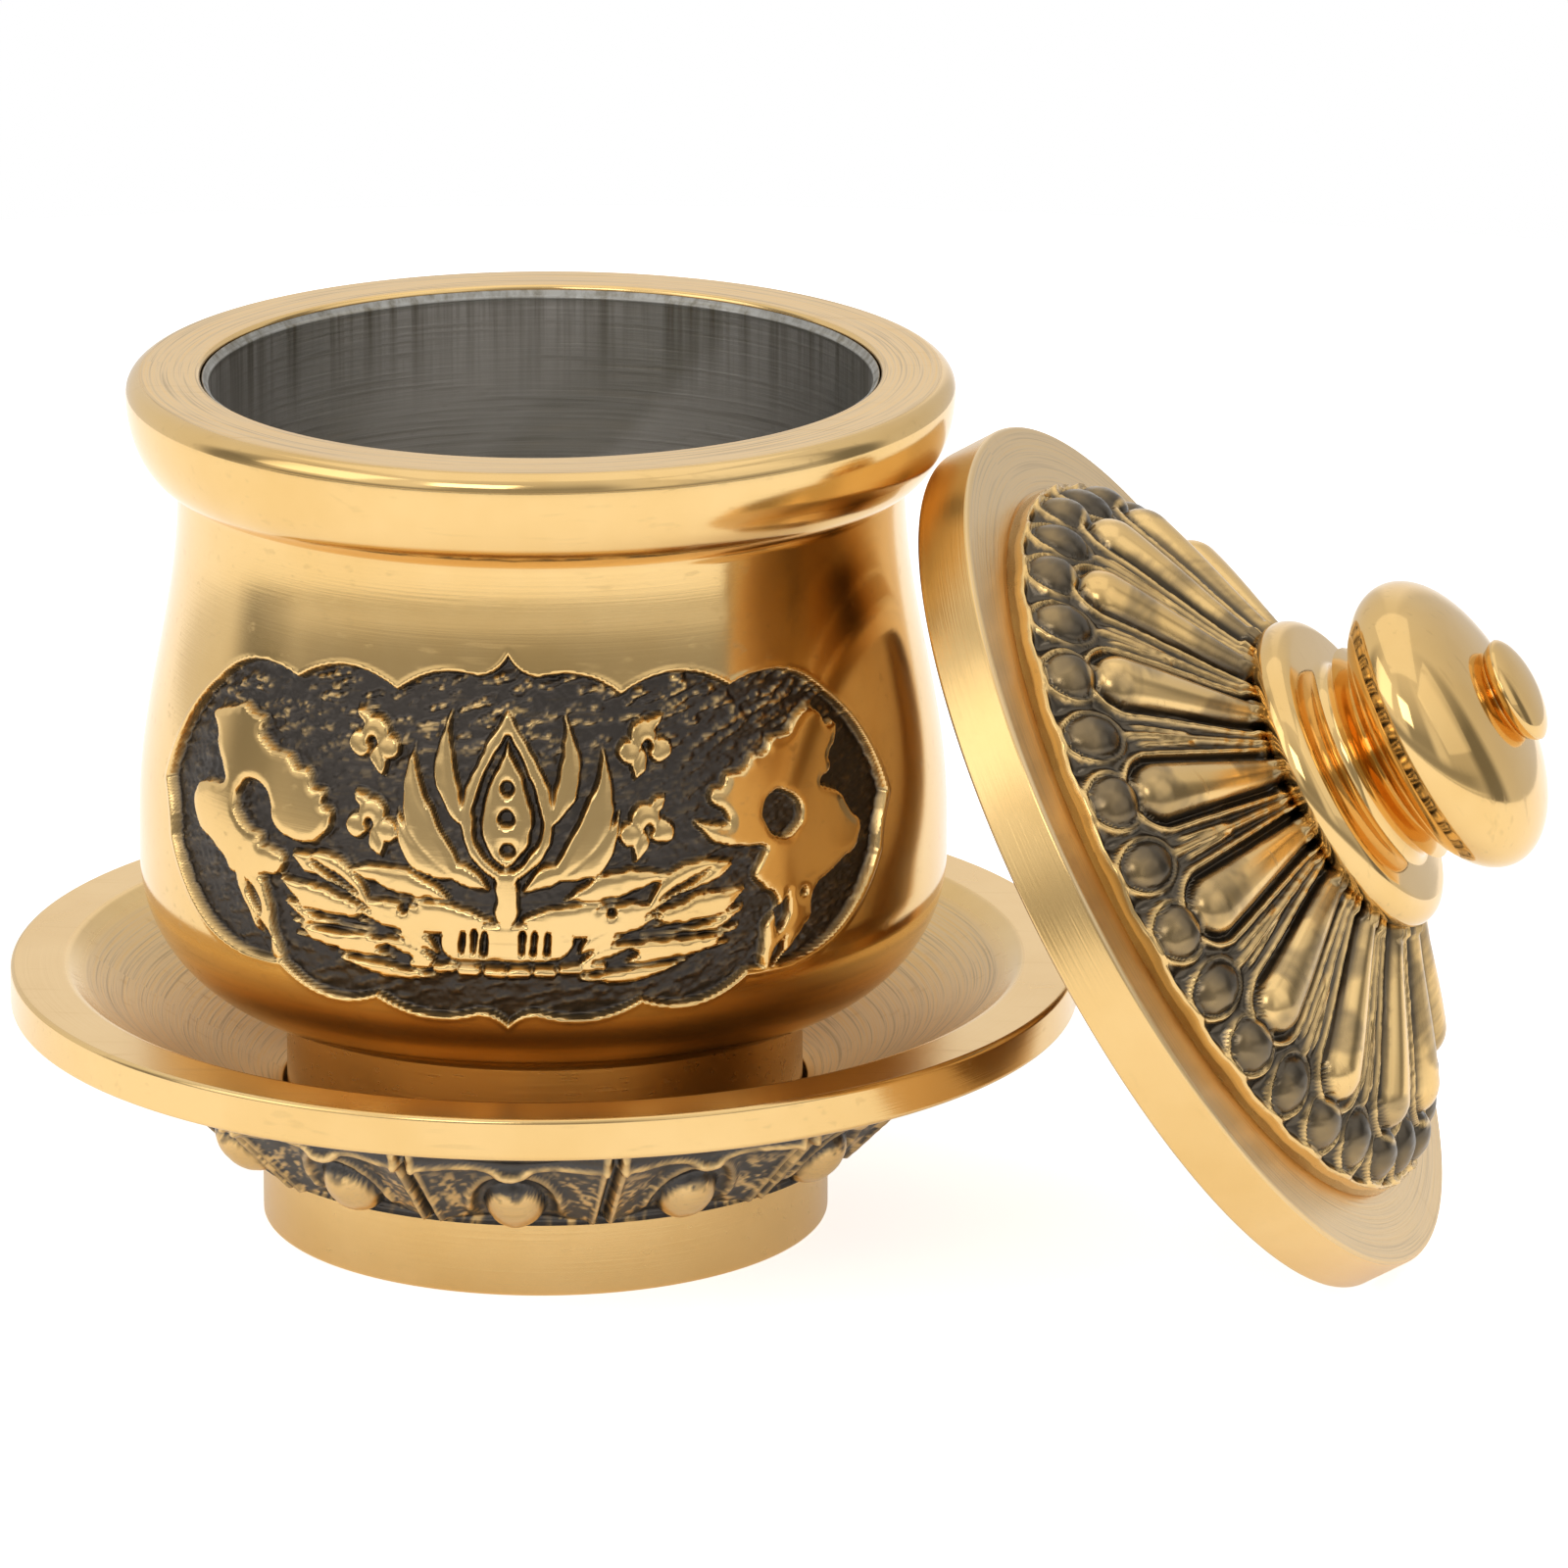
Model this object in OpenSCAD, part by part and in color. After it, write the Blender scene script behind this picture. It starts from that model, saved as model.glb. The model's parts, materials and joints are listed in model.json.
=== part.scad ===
// Covered water-offering cup: a brass cup with a grey liner, standing in a footed saucer,
// with its knobbed lid leaning against the lip. Millimetres, +Z up, and the origin lies at
// the centre of the saucer's foot on the table. The carved panels face -Y and +Y.

/* [Saucer] */
// Outer diameter of the saucer's rim
saucer_d = 76; // [70:0.5:90]
// Height of the saucer's rim above the table
rim_z = 18.9; // [17:0.1:24]
// Thickness of the rim's outer band
rim_t = 3; // [2:0.1:4]
// Width of the flat ring on top of the rim
rim_w = 4; // [2:0.5:6]
// Wall of the dish below its inner cone
dish_wall = 2.3; // [1.5:0.1:3]
// Height of the bottom of the dish's inner cone
well_z = 9.8; // [9:0.1:11]
// Depth of the recess that holds the cup's foot
seat_depth = 1.6; // [0.8:0.1:2.5]

/* [Saucer foot and lotus collar] */
// Outer diameter of the foot ring
ring_d = 40.4; // [38:0.2:44]
// Height of the foot ring
ring_h = 5.8; // [4:0.1:6.2]
// Wall of the foot ring
ring_wall = 3.6; // [3:0.1:5]
// Radius at which the collar meets the dish's underside
collar_top_r = 29.4; // [27:0.1:31]
// How far the collar's bottom edge stands out past the foot ring
collar_overhang = 1.6; // [0.5:0.1:2.5]
// Number of lotus petals round the collar
collar_petals = 12; // [8:1:16]
// Radius of the swollen tip of a collar petal
petal_tip_r = 2.2; // [1.5:0.1:2.6]
// Radius of a collar petal's boss at its root
petal_root_r = 1; // [0.6:0.1:1.4]
// Length of a collar petal's boss along the slope
petal_len = 8; // [6:0.5:10]
// How deep the middle of a petal's boss lies in the collar
petal_sink = 0.6; // [0.3:0.1:1.2]

/* [Cup] */
// Outer diameter of the lip
lip_d = 58.3; // [56:0.1:62]
// Height of the lip's top above the table
lip_z = 61.9; // [56:0.1:68]
// Height of the lip's polished flank
lip_h = 6.1; // [5:0.1:8]
// Rounding of the lip's upper edge
lip_round = 1.3; // [0.6:0.1:1.6]
// Outer diameter at the neck below the lip
neck_d = 51.2; // [50.8:0.1:54]
// Height of the straight neck
neck_h = 0.8; // [0.4:0.1:2]
// Greatest diameter of the belly
belly_d = 57.3; // [56:0.1:62]
// Height of the belly's greatest diameter
belly_z = 29.6; // [28:0.1:34]
// Rounding under the belly
belly_round = 10.2; // [8:0.1:11]
// Height of the belly's underside
belly_bottom_z = 16.6; // [15:0.1:17.5]
// Diameter of the cup's foot
cup_foot_d = 36.8; // [34:0.2:38]
// Wall of the cup's hollow foot
cup_foot_wall = 2.6; // [2:0.1:4]
// Inner diameter of the cup's shell
bore_d = 47.8; // [46:0.1:48.6]
// Height of the cup's inner floor
floor_z = 19.4; // [18.5:0.1:22]
// Rounding round the inner floor
floor_round = 9; // [6:0.5:12]

/* [Liner] */
// Wall of the grey liner
liner_wall = 0.5; // [0.4:0.1:1]
// How far the liner's edge lies below the lip
liner_drop = 0.3; // [0.1:0.1:1]
// Gap between the liner and the shell
liner_gap = 0.1; // [0.05:0.05:0.2]

/* [Carved panels] */
// Depth of the panel's sunk ground
panel_depth = 0.8; // [0.3:0.1:0.9]
// Half width of a panel, seen from the front
panel_half_w = 25.3; // [20:0.1:26]
// Height of the panel's middle
panel_z = 35.3; // [33:0.1:36]
// Half height of the panel at its pointed top and bottom
panel_half_h = 13.1; // [10:0.1:13.4]

/* [Lid] */
// Diameter of the lid's flange
lid_d = 65; // [62:0.5:72]
// Thickness of the flange
flange_t = 4.1; // [3:0.1:5]
// Bore through the flange under the hollow dome
flange_bore_d = 40; // [36:0.5:41]
// Wall of the locating rim that drops into the cup's mouth
locating_wall = 2.4; // [1.5:0.1:2.5]
// Depth of the locating rim
locating_h = 3; // [2:0.5:4]
// Gap between the locating rim and the liner when the cup is covered
locating_gap = 0.5; // [0.3:0.1:1]
// Diameter of the petal dome's base
dome_d = 54.6; // [53:0.2:58]
// Height of the plain step round the dome's base
dome_step = 1.2; // [0.8:0.1:2]
// Height of the dome's flat top, where the knob stands
dome_h = 9.6; // [8:0.1:12]
// Rise of the dome's curve over a straight cone
dome_crown = 1.1; // [0.6:0.1:1.6]
// Wall of the hollow dome
dome_wall = 2.2; // [1.6:0.1:3]
// Number of petals round the dome
dome_petals = 16; // [12:1:20]
// Length of the raised drop on each dome petal
drop_len = 11.5; // [9:0.5:12.5]
// Radius of the drop's round outer end
drop_fat_r = 2.2; // [1.4:0.1:2.4]
// Radius of the drop beside the knob
drop_thin_r = 1.1; // [0.8:0.1:1.4]
// How deep the drop's middle lies in the dome
drop_sink = 0.4; // [0.2:0.1:1]
// Radius of the bead at the end of each dome petal
bead_r = 1.7; // [1.2:0.1:1.9]
// Radius of the bead between two dome petals
side_bead_r = 1.4; // [1:0.1:1.6]
// How far the beads' middles lie in from the dome's edge
bead_inset = 2.4; // [2:0.1:3]
// How deep the beads' middles lie in the dome
bead_sink = 0.7; // [0.4:0.1:1.2]

/* [Knob] */
// Diameter of the knob's base disc
knob_base_d = 23.4; // [20:0.2:24]
// Height of the base disc
knob_base_h = 3.2; // [2:0.1:4]
// Diameter of the knob's waist
knob_waist_d = 14.4; // [12:0.2:16]
// Height of the waist
knob_waist_h = 2.4; // [1.5:0.1:3]
// Diameter of the knob's flattened ball
ball_d = 21.6; // [19:0.2:24]
// Height of the flattened ball
ball_h = 9.4; // [7:0.1:11]
// Diameter of the button on the knob's end
button_d = 7.8; // [6:0.2:9]
// Height of the button
button_h = 2; // [1.5:0.1:3]
// Diameter of the screw that holds the knob
screw_d = 3.6; // [3:0.1:4]
// Depth of the screw in the knob
screw_grip = 7; // [5:0.5:9]
// Diameter of the screw's head
screw_head_d = 7; // [6:0.2:7.6]
// Height of the screw's head
screw_head_h = 2.2; // [1.5:0.1:2.4]
// Diameter of the washer under the screw's head
washer_d = 10; // [8.2:0.2:12]
// Thickness of the washer
washer_t = 0.8; // [0.5:0.1:1]

/* [Leaning lid] */
// Angle between the lid's axis and the vertical
lid_tilt = 60; // [52:0.5:66]
// Direction in which the lid lies from the cup, from +X
lid_azimuth = -8; // [-20:1:20]

/* [Clearances] */
// Gap between pieces that move apart by hand
loose_gap = 0.3; // [0.2:0.05:0.5]
// Gap between curved faces of pieces that are joined for good
close_gap = 0.1; // [0.05:0.05:0.2]
// Gap round the screw in its holes
screw_gap = 0.2; // [0.1:0.05:0.3]

/* [Hidden] */
$fn = 128;

saucer_r = saucer_d / 2;
ring_r = ring_d / 2;
lip_r = lip_d / 2;
neck_r = neck_d / 2;
belly_r = belly_d / 2;
cup_foot_r = cup_foot_d / 2;
bore_r = bore_d / 2;
lid_r = lid_d / 2;
dome_r = dome_d / 2;
knob_base_r = knob_base_d / 2;

// Seat of the cup in the saucer
seat_r = cup_foot_r + loose_gap;
seat_z = well_z - seat_depth;
cup_z = seat_z + close_gap;

// Inner cone of the dish, from the flat rim down to the well
rim_in_r = saucer_r - rim_w;
cone_slope = (rim_z - well_z) / (rim_in_r - seat_r);
cone_drop = dish_wall * sqrt(1 + cone_slope * cone_slope);
under_z = rim_z - rim_t;
under_r = rim_in_r + (cone_drop - rim_t) / cone_slope;
hub_r = ring_r - ring_wall / 2;
function dish_under_z(r) = rim_z - (rim_in_r - r) * cone_slope - cone_drop;

// Liner's radii
liner_r = bore_r - liner_gap;
liner_in_r = liner_r - liner_wall;

// Collar's outer slope, from the foot ring to the dish
collar_foot_r = ring_r + collar_overhang;
collar_top_z = dish_under_z(collar_top_r) - close_gap;
collar_angle = atan2(collar_top_z - ring_h, collar_top_r - collar_foot_r);

// Dome's outer slope
dome_angle = atan2(dome_h - dome_step, dome_r - knob_base_r);

// Points along an arc about c with radius r, from angle a to angle b
function arc(c, r, a, b, n = 10) = [
    for (i = [0 : n]) let (t = a + (b - a) * i / n) c + r * [cos(t), sin(t)]
];

// Cup's outer outline from its foot up to the lip, as [radius, height]
neck_top_z = lip_z - lip_round - lip_h;
neck_z = neck_top_z - neck_h;
belly_c = [belly_r - belly_round, belly_bottom_z + belly_round];
cup_outline = concat(
    [[cup_foot_r, cup_z], [cup_foot_r, belly_bottom_z]],
    arc(belly_c, belly_round, -90, 0, 14),
    [for (i = [0 : 20]) let (t = i / 20) [
        neck_r + (belly_r - neck_r) * (1 + cos(180 * t)) / 2,
        belly_z + (neck_z - belly_z) * t
    ]],
    [for (i = [0 : 12]) let (t = i / 12) [
        neck_r + (lip_r - neck_r) * sqrt(1 - pow(1 - t, 2)), neck_top_z + lip_h * t
    ]],
    arc([lip_r - lip_round, lip_z - lip_round], lip_round, 15, 90, 5)
);
cup_radius_table = [for (p = cup_outline) [p[1], p[0]]];
function cup_radius(z) = z > lip_z || z < cup_z ? 0 : lookup(z, cup_radius_table);

// The lid stands on the lower edge of its flange and leans its upper edge on the cup
edge_z = 2 * lid_r * sin(lid_tilt);
edge_r = close_gap + max(concat(
    [for (s = [0 : 0.1 : flange_t]) cup_radius(edge_z + s * cos(lid_tilt)) - s * sin(lid_tilt)],
    [for (s = [0 : 0.5 : lid_r]) cup_radius(edge_z - s * sin(lid_tilt)) - s * cos(lid_tilt)]
));
lid_centre = [
    edge_r + lid_r * cos(lid_tilt) + flange_t * sin(lid_tilt), 0,
    lid_r * sin(lid_tilt) + flange_t * cos(lid_tilt)
];

// Levels along the lid's own axis, from the flange's top face
washer_h = dome_h - dome_wall;
ball_z = dome_h + knob_base_h + knob_waist_h + ball_h / 2 - 0.6;
button_z = ball_z + ball_h / 2;

module lathe(points) {
    rotate_extrude() polygon(points);
}

module leaning() {
    rotate([0, 0, lid_azimuth]) translate(lid_centre) rotate([0, lid_tilt, 0]) children();
}

// Long drop shape along +X, fat and round at the far end
module drop(length, fat_r, thin_r) {
    rotate([0, 90, 0]) cylinder(r1 = thin_r, r2 = fat_r, h = length - fat_r);
    translate([length - fat_r, 0, 0]) sphere(r = fat_r);
}

// A carved panel is drawn flat, in millimetres from its middle, and bent round the cup
drawn_half_w = 31;
drawn_half_h = 13.1;
drawn_turn = 63.4;
function bent(points) = [for (p = points) [
    panel_half_w * sin(drawn_turn * p[0] / drawn_half_w) / sin(drawn_turn),
    panel_half_h * p[1] / drawn_half_h
]];
function mirrored(points, skip = 0) = [for (i = [len(points) - 1 : -1 : skip]) [-points[i][0], points[i][1]]];

// Half of the panel's lobed edge: corners, with the outward bow of the stretch after each
panel_edge = [
    [0, 13.1, -0.35], [2.2, 11.6, 0.75], [8.3, 10.3, 1.3], [16.8, 10.1, 1.35], [25.4, 8.3, 0.9], [31, 0, -0.3],
    [29.3, -3.7, 2.3], [16.9, -10, 1.25], [9.3, -11.2, 0.9], [2.1, -12, -0.3], [0, -13.1, 0]
];
function lobed(corners) = [
    for (i = [0 : len(corners) - 2], t = [0, 1 / 3, 2 / 3])
        let (a = [corners[i][0], corners[i][1]], d = [corners[i + 1][0], corners[i + 1][1]] - a)
        a + d * t + [-d[1], d[0]] / norm(d) * corners[i][2] * 4 * t * (1 - t)
];

// Pointed leaf from its root to its tip, with its greatest half width
function leaf(root, tip, half, n = 3) = let (d = tip - root, side = [-d[1], d[0]] * half / norm(d)) concat(
    [for (i = [0 : n]) root + d * i / n + side * sin(180 * pow(i / n, 0.8))],
    [for (i = [n - 1 : -1 : 1]) root + d * i / n - side * sin(180 * pow(i / n, 0.8))]
);

// Leaves and petals of the carving's right half: root, tip and half width
half_figures = [
    [[2.6, -2.7], [6.9, 6.5], 1.3], [[3, -2.3], [7.9, 2.1], 1], [[1.2, -3.1], [5.6, -1.5], 0.7],
    [[10.3, 4.8], [10.3, 8.6], 1.3], [[9.8, -0.8], [9.8, 3], 1.3],
    [[0.6, -4.8], [10.8, -4.7], 0.9], [[10.2, -4.8], [15.4, -1.8], 1], [[5.2, -4], [11.2, -2.5], 0.7],
    [[9.2, -7.4], [16.3, -4.6], 0.9], [[5, -8.2], [10, -5.6], 0.7], [[4.8, -9.2], [14.6, -8], 0.6]
];
left_plant = [
    [-25.5, 6.1], [-21.9, 7.2], [-20, 6.3], [-19.4, 5.1], [-15.2, 3.7], [-13.2, 1.2], [-14.3, -1], [-17.2, -0.9],
    [-18.3, 0.7], [-19.4, 2], [-21, 1.5], [-21.3, 0.1], [-19.6, -1.2], [-16.8, -2.9], [-18.2, -4.1], [-16.9, -9.4],
    [-18.6, -9.2], [-21.2, -4.2], [-24.6, -2.5], [-26.8, -0.1], [-26.3, 1.3], [-22.8, 1.6], [-23.9, 3.4]
];
right_plant = [
    [23.8, 7.4], [26.2, 5.6], [25.1, 3.6], [23.5, 2.2], [25.7, 1.1], [27.7, -1.1], [25.7, -3.3], [22.6, -4.3],
    [22, -6.9], [18.6, -9.8], [18.4, -7.2], [19.5, -5.2], [17.6, -3.3], [18.8, -1.4], [15.4, -0.9], [13.4, 1.1],
    [15.8, 0.8], [14.6, 2.5], [15.9, 3.8], [19.7, 5.8]
];

// Sunk ground of a panel: its lobed outline without the figures left standing in it
module panel_outline() difference() {
    polygon(bent(concat(lobed(panel_edge), [[0, -drawn_half_h]], mirrored(lobed(panel_edge), 1))));
    polygon(bent(leaf([0, -2.7], [0, 9.3], 3.3, 5)));
    polygon(bent([[-0.8, -5], [0.8, -5], [0.8, -2], [-0.8, -2]]));
    polygon(bent([[-4.5, -6.8], [-3.6, -5.5], [3.6, -5.5], [4.5, -6.8], [3.6, -8.1], [-3.6, -8.1]]));
    for (f = half_figures) {
        polygon(bent(leaf(f[0], f[1], f[2])));
        polygon(bent(mirrored(leaf(f[0], f[1], f[2]))));
    }
    polygon(bent(left_plant));
    polygon(bent(right_plant));
}

// Layer of the cup's wall that a panel cuts away
module panel_ground() {
    bands = 8;
    low_z = belly_bottom_z + 1;
    skin = [for (i = [0 : bands]) let (z = low_z + (neck_z - low_z) * i / bands) [cup_radius(z), z]];
    rotate_extrude() polygon(concat(
        [for (p = skin) p - [panel_depth, 0]],
        [for (i = [len(skin) - 1 : -1 : 0]) skin[i] + [1, 0]]
    ));
}

module cup_shell() color("goldenrod") difference() {
    lathe(concat(
        cup_outline,
        [[bore_r, lip_z]],
        arc([bore_r - floor_round, floor_z + floor_round], floor_round, 0, -90),
        [[0, floor_z], [0, belly_bottom_z], [cup_foot_r - cup_foot_wall, belly_bottom_z],
         [cup_foot_r - cup_foot_wall, cup_z]]
    ));
    for (a = [0, 180]) intersection() {
        panel_ground();
        rotate([0, 0, a]) translate([0, 0, panel_z]) rotate([90, 0, 0])
            linear_extrude(lip_d) panel_outline();
    }
}

module cup_liner() color("dimgray") lathe(concat(
    [[0, floor_z]],
    arc([liner_r - floor_round, floor_z + floor_round], floor_round, -90, 0),
    [[liner_r, lip_z - liner_drop], [liner_in_r, lip_z - liner_drop - liner_wall]],
    arc([liner_r - floor_round, floor_z + floor_round], floor_round - liner_wall, 0, -90),
    [[0, floor_z + liner_wall]]
));

module saucer_dish() color("darkgoldenrod") lathe([
    [0, ring_h], [hub_r, ring_h], [hub_r, dish_under_z(hub_r)], [under_r, under_z],
    [saucer_r, under_z], [saucer_r, rim_z], [rim_in_r, rim_z], [seat_r, well_z],
    [seat_r, seat_z], [0, seat_z]
]);

module lotus_collar() color("dimgray") {
    hub_gap_r = hub_r + close_gap;
    difference() {
        union() {
            lathe([
                [hub_gap_r, ring_h], [collar_foot_r, ring_h], [collar_top_r, collar_top_z],
                [hub_gap_r, dish_under_z(hub_gap_r) - close_gap]
            ]);
            for (i = [0 : collar_petals - 1]) rotate([0, 0, -90 + i * 360 / collar_petals])
                translate([collar_foot_r, 0, ring_h]) rotate([0, 180 - collar_angle, 0])
                    translate([-petal_len, 0, -petal_sink]) drop(petal_len, petal_tip_r, petal_root_r);
        }
        lathe([[0, -1], [saucer_r, -1], [saucer_r, ring_h], [0, ring_h]]);
        lathe([
            [0, ring_h - 1], [hub_gap_r, ring_h - 1], [hub_gap_r, dish_under_z(hub_gap_r) - close_gap],
            [saucer_r, dish_under_z(saucer_r) - close_gap], [saucer_r, rim_z + saucer_r], [0, rim_z + saucer_r]
        ]);
    }
}

module saucer_foot() color("goldenrod") lathe([
    [ring_r - ring_wall, 0], [ring_r, 0], [ring_r, ring_h], [ring_r - ring_wall, ring_h]
]);

module lid_flange() color("burlywood") leaning() {
    locating_r = liner_in_r - locating_gap;
    lathe([
        [flange_bore_d / 2, 0], [lid_r, 0], [lid_r, -flange_t], [locating_r, -flange_t],
        [locating_r, -flange_t - locating_h], [locating_r - locating_wall, -flange_t - locating_h],
        [flange_bore_d / 2, -flange_t]
    ]);
}

// Dome's outer outline from its base to the flat under the knob
function dome_point(t) = [
    dome_r + (knob_base_r - dome_r) * t,
    dome_step + (dome_h - dome_step) * t + 4 * dome_crown * t * (1 - t) * (1 - t)
];
module petal_dome() color("dimgray") leaning() {
    steps = 14;
    outer = [for (i = [0 : steps]) dome_point(i / steps)];
    hollow = [for (p = outer) [max(p[0] - dome_wall, washer_d / 2), min(p[1] - dome_step, washer_h)]];
    bead_at = dome_point(bead_inset / (dome_r - knob_base_r));
    petal_pitch = 360 / dome_petals;
    difference() {
        union() {
            lathe(concat([[0, 0], [dome_r, 0]], outer, [[0, dome_h]]));
            for (i = [0 : dome_petals - 1]) rotate([0, 0, i * petal_pitch]) {
                translate([knob_base_r, 0, dome_h - drop_sink]) rotate([0, dome_angle, 0])
                    drop(drop_len, drop_fat_r, drop_thin_r);
                translate([bead_at[0], 0, bead_at[1] - bead_sink]) sphere(r = bead_r);
                rotate([0, 0, petal_pitch / 2])
                    translate([bead_at[0], 0, bead_at[1] - bead_sink]) sphere(r = side_bead_r);
            }
        }
        lathe(concat([[0, -dome_h], [hollow[0][0], -dome_h]], hollow, [[0, washer_h]]));
        translate([0, 0, washer_h - 1]) cylinder(d = screw_d + 2 * screw_gap, h = dome_wall + 2);
    }
}

module lid_knob() color("gold") leaning() {
    base_c = [knob_base_r - knob_base_h / 2, dome_h + knob_base_h / 2];
    waist_z = dome_h + knob_base_h;
    difference() {
        lathe(concat(
            [[0, dome_h], [base_c[0], dome_h]],
            arc(base_c, knob_base_h / 2, -90, 90),
            [[knob_waist_d / 2 + 0.8, waist_z], [knob_waist_d / 2, waist_z + knob_waist_h / 2]],
            [for (i = [3 : 17]) let (a = -90 + 180 * i / 18) [
                ball_d / 2 * pow(cos(a), 0.8), ball_z + ball_h / 2 * sin(a)
            ]],
            [[button_d / 2 - 0.6, button_z], [button_d / 2, button_z + button_h * 0.35]],
            [for (i = [1 : 6]) let (a = 90 * i / 6) [
                button_d / 2 * cos(a), button_z + button_h * (0.35 + 0.65 * sin(a))
            ]]
        ));
        translate([0, 0, dome_h - 1]) cylinder(d = screw_d + 2 * screw_gap, h = screw_grip + 2);
    }
}

module knob_screw() color("silver") leaning() {
    head_z = washer_h - washer_t - screw_head_h;
    translate([0, 0, head_z]) cylinder(d = screw_head_d, h = screw_head_h);
    translate([0, 0, head_z]) cylinder(d = screw_d, h = screw_head_h + washer_t + dome_wall + screw_grip);
}

module knob_washer() color("silver") leaning() difference() {
    translate([0, 0, washer_h - washer_t]) cylinder(d = washer_d, h = washer_t);
    translate([0, 0, washer_h - washer_t - 1]) cylinder(d = screw_d + 2 * screw_gap, h = washer_t + 2);
}

cup_shell();
cup_liner();
saucer_dish();
lotus_collar();
saucer_foot();
lid_flange();
petal_dome();
lid_knob();
knob_screw();
knob_washer();
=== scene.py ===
"""Covered brass offering bowl: a lined cup with carved panels, a lotus saucer and a petal lid."""

import json
import logging
import math
from dataclasses import dataclass, replace
from enum import Enum
from typing import ClassVar

import bpy
import numpy as np
from mathutils import Matrix, Vector


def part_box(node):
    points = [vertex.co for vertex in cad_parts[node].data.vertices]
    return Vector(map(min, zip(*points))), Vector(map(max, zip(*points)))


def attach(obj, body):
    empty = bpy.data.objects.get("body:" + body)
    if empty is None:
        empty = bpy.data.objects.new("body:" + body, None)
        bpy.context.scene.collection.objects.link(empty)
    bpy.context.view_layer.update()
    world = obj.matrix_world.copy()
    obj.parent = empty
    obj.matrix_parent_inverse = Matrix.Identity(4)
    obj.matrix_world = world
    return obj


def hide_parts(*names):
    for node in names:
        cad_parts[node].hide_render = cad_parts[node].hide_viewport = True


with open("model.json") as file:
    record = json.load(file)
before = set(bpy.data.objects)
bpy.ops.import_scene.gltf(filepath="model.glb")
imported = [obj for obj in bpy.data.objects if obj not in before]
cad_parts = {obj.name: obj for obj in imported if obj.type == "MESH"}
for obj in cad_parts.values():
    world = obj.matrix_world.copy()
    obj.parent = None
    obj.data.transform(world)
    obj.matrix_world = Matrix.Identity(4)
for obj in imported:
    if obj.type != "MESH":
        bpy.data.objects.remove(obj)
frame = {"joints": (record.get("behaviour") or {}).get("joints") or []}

LOG = logging.getLogger("offering_bowl")
MM = 0.001
AXIS_R = 0.01
TINY = 1e-12
HASH_X, HASH_Y, HASH_SEED, HASH_GAIN = 127.1, 311.7, 74.7, 43758.5453
Array = np.ndarray
Point = tuple[float, float]
Colour = tuple[float, float, float]
Socket = bpy.types.NodeSocket


class Body(Enum):
    """The three pieces of the set that move by hand."""

    SAUCER = "saucer"
    CUP = "cup"
    LID = "lid"


def smooth(low: float, high: float, x: Array) -> Array:
    """Gives a smooth step from 0 at low to 1 at high."""
    t = np.clip((x - low) / (high - low), 0.0, 1.0)
    return t * t * (3.0 - 2.0 * t)


def soft_ridge(distance: Array, width: float) -> Array:
    """Gives a ridge that is 1 where the distance is 0 and falls away over the width."""
    return np.exp(-((distance / width) ** 2))


def bulge(far: Array) -> Array:
    """Gives a round bulge, 1 in its middle and 0 where the squared distance reaches 1."""
    return np.sqrt(np.clip(1.0 - far, 0.0, 1.0))


def turns(steps: int) -> Array:
    """Gives the angles of the grid's columns round the axis, in radians from the front."""
    return np.linspace(-math.pi, math.pi, steps, endpoint=False)


def lattice_noise(x: Array, y: Array, seed: float) -> Array:
    """Makes smooth seeded noise from a square lattice.

    Args:
        x: First coordinate, in lattice cells.
        y: Second coordinate, in lattice cells.
        seed: Number that picks the pattern.

    Returns:
        Values from 0 to 1, one for each point.
    """

    def corner(i: Array, j: Array) -> Array:
        """Gives one fixed value for each lattice corner."""
        wave = np.sin(i * HASH_X + j * HASH_Y + seed * HASH_SEED) * HASH_GAIN
        return wave - np.floor(wave)

    i, j = np.floor(x), np.floor(y)
    fx, fy = smooth(0.0, 1.0, x - i), smooth(0.0, 1.0, y - j)
    low = corner(i, j) * (1.0 - fx) + corner(i + 1, j) * fx
    high = corner(i, j + 1) * (1.0 - fx) + corner(i + 1, j + 1) * fx
    return low * (1.0 - fy) + high * fy


def arc(centre: Point, radius: float, start: float, end: float, steps: int) -> Array:
    """Samples a circular arc in the half plane of radius and height.

    Args:
        centre: Centre of the arc, in mm.
        radius: Radius of the arc, in mm.
        start: First angle, in degrees.
        end: Last angle, in degrees.
        steps: Number of chords.

    Returns:
        Points as rows of radius and height.
    """
    turn = np.radians(np.linspace(start, end, steps + 1))
    return np.stack([centre[0] + radius * np.cos(turn), centre[1] + radius * np.sin(turn)], axis=1)


def filleted(corners: list[tuple[float, float, float]], steps: int = 5) -> Array:
    """Rounds the corners of an outline.

    Args:
        corners: Radius, height and rounding of each corner, in mm.
        steps: Number of chords in each rounding.

    Returns:
        Points as rows of radius and height.
    """
    points: list[Array] = []
    spots = [np.array(c[:2], dtype=float) for c in corners]
    for k, here in enumerate(spots):
        rounding = corners[k][2]
        if rounding <= 0.0 or k in (0, len(spots) - 1):
            points.append(here)
            continue
        before = spots[k - 1] - here
        after = spots[k + 1] - here
        before /= np.linalg.norm(before)
        after /= np.linalg.norm(after)
        half = math.acos(float(np.clip(before @ after, -1.0, 1.0))) / 2.0
        reach = rounding / math.tan(half)
        middle = here + (before + after) / np.linalg.norm(before + after) * rounding / math.sin(half)
        first, last = here + before * reach - middle, here + after * reach - middle
        for i in range(steps + 1):
            blend = first * (1.0 - i / steps) + last * (i / steps)
            points.append(middle + blend / np.linalg.norm(blend) * rounding)
    return np.array(points)


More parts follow.
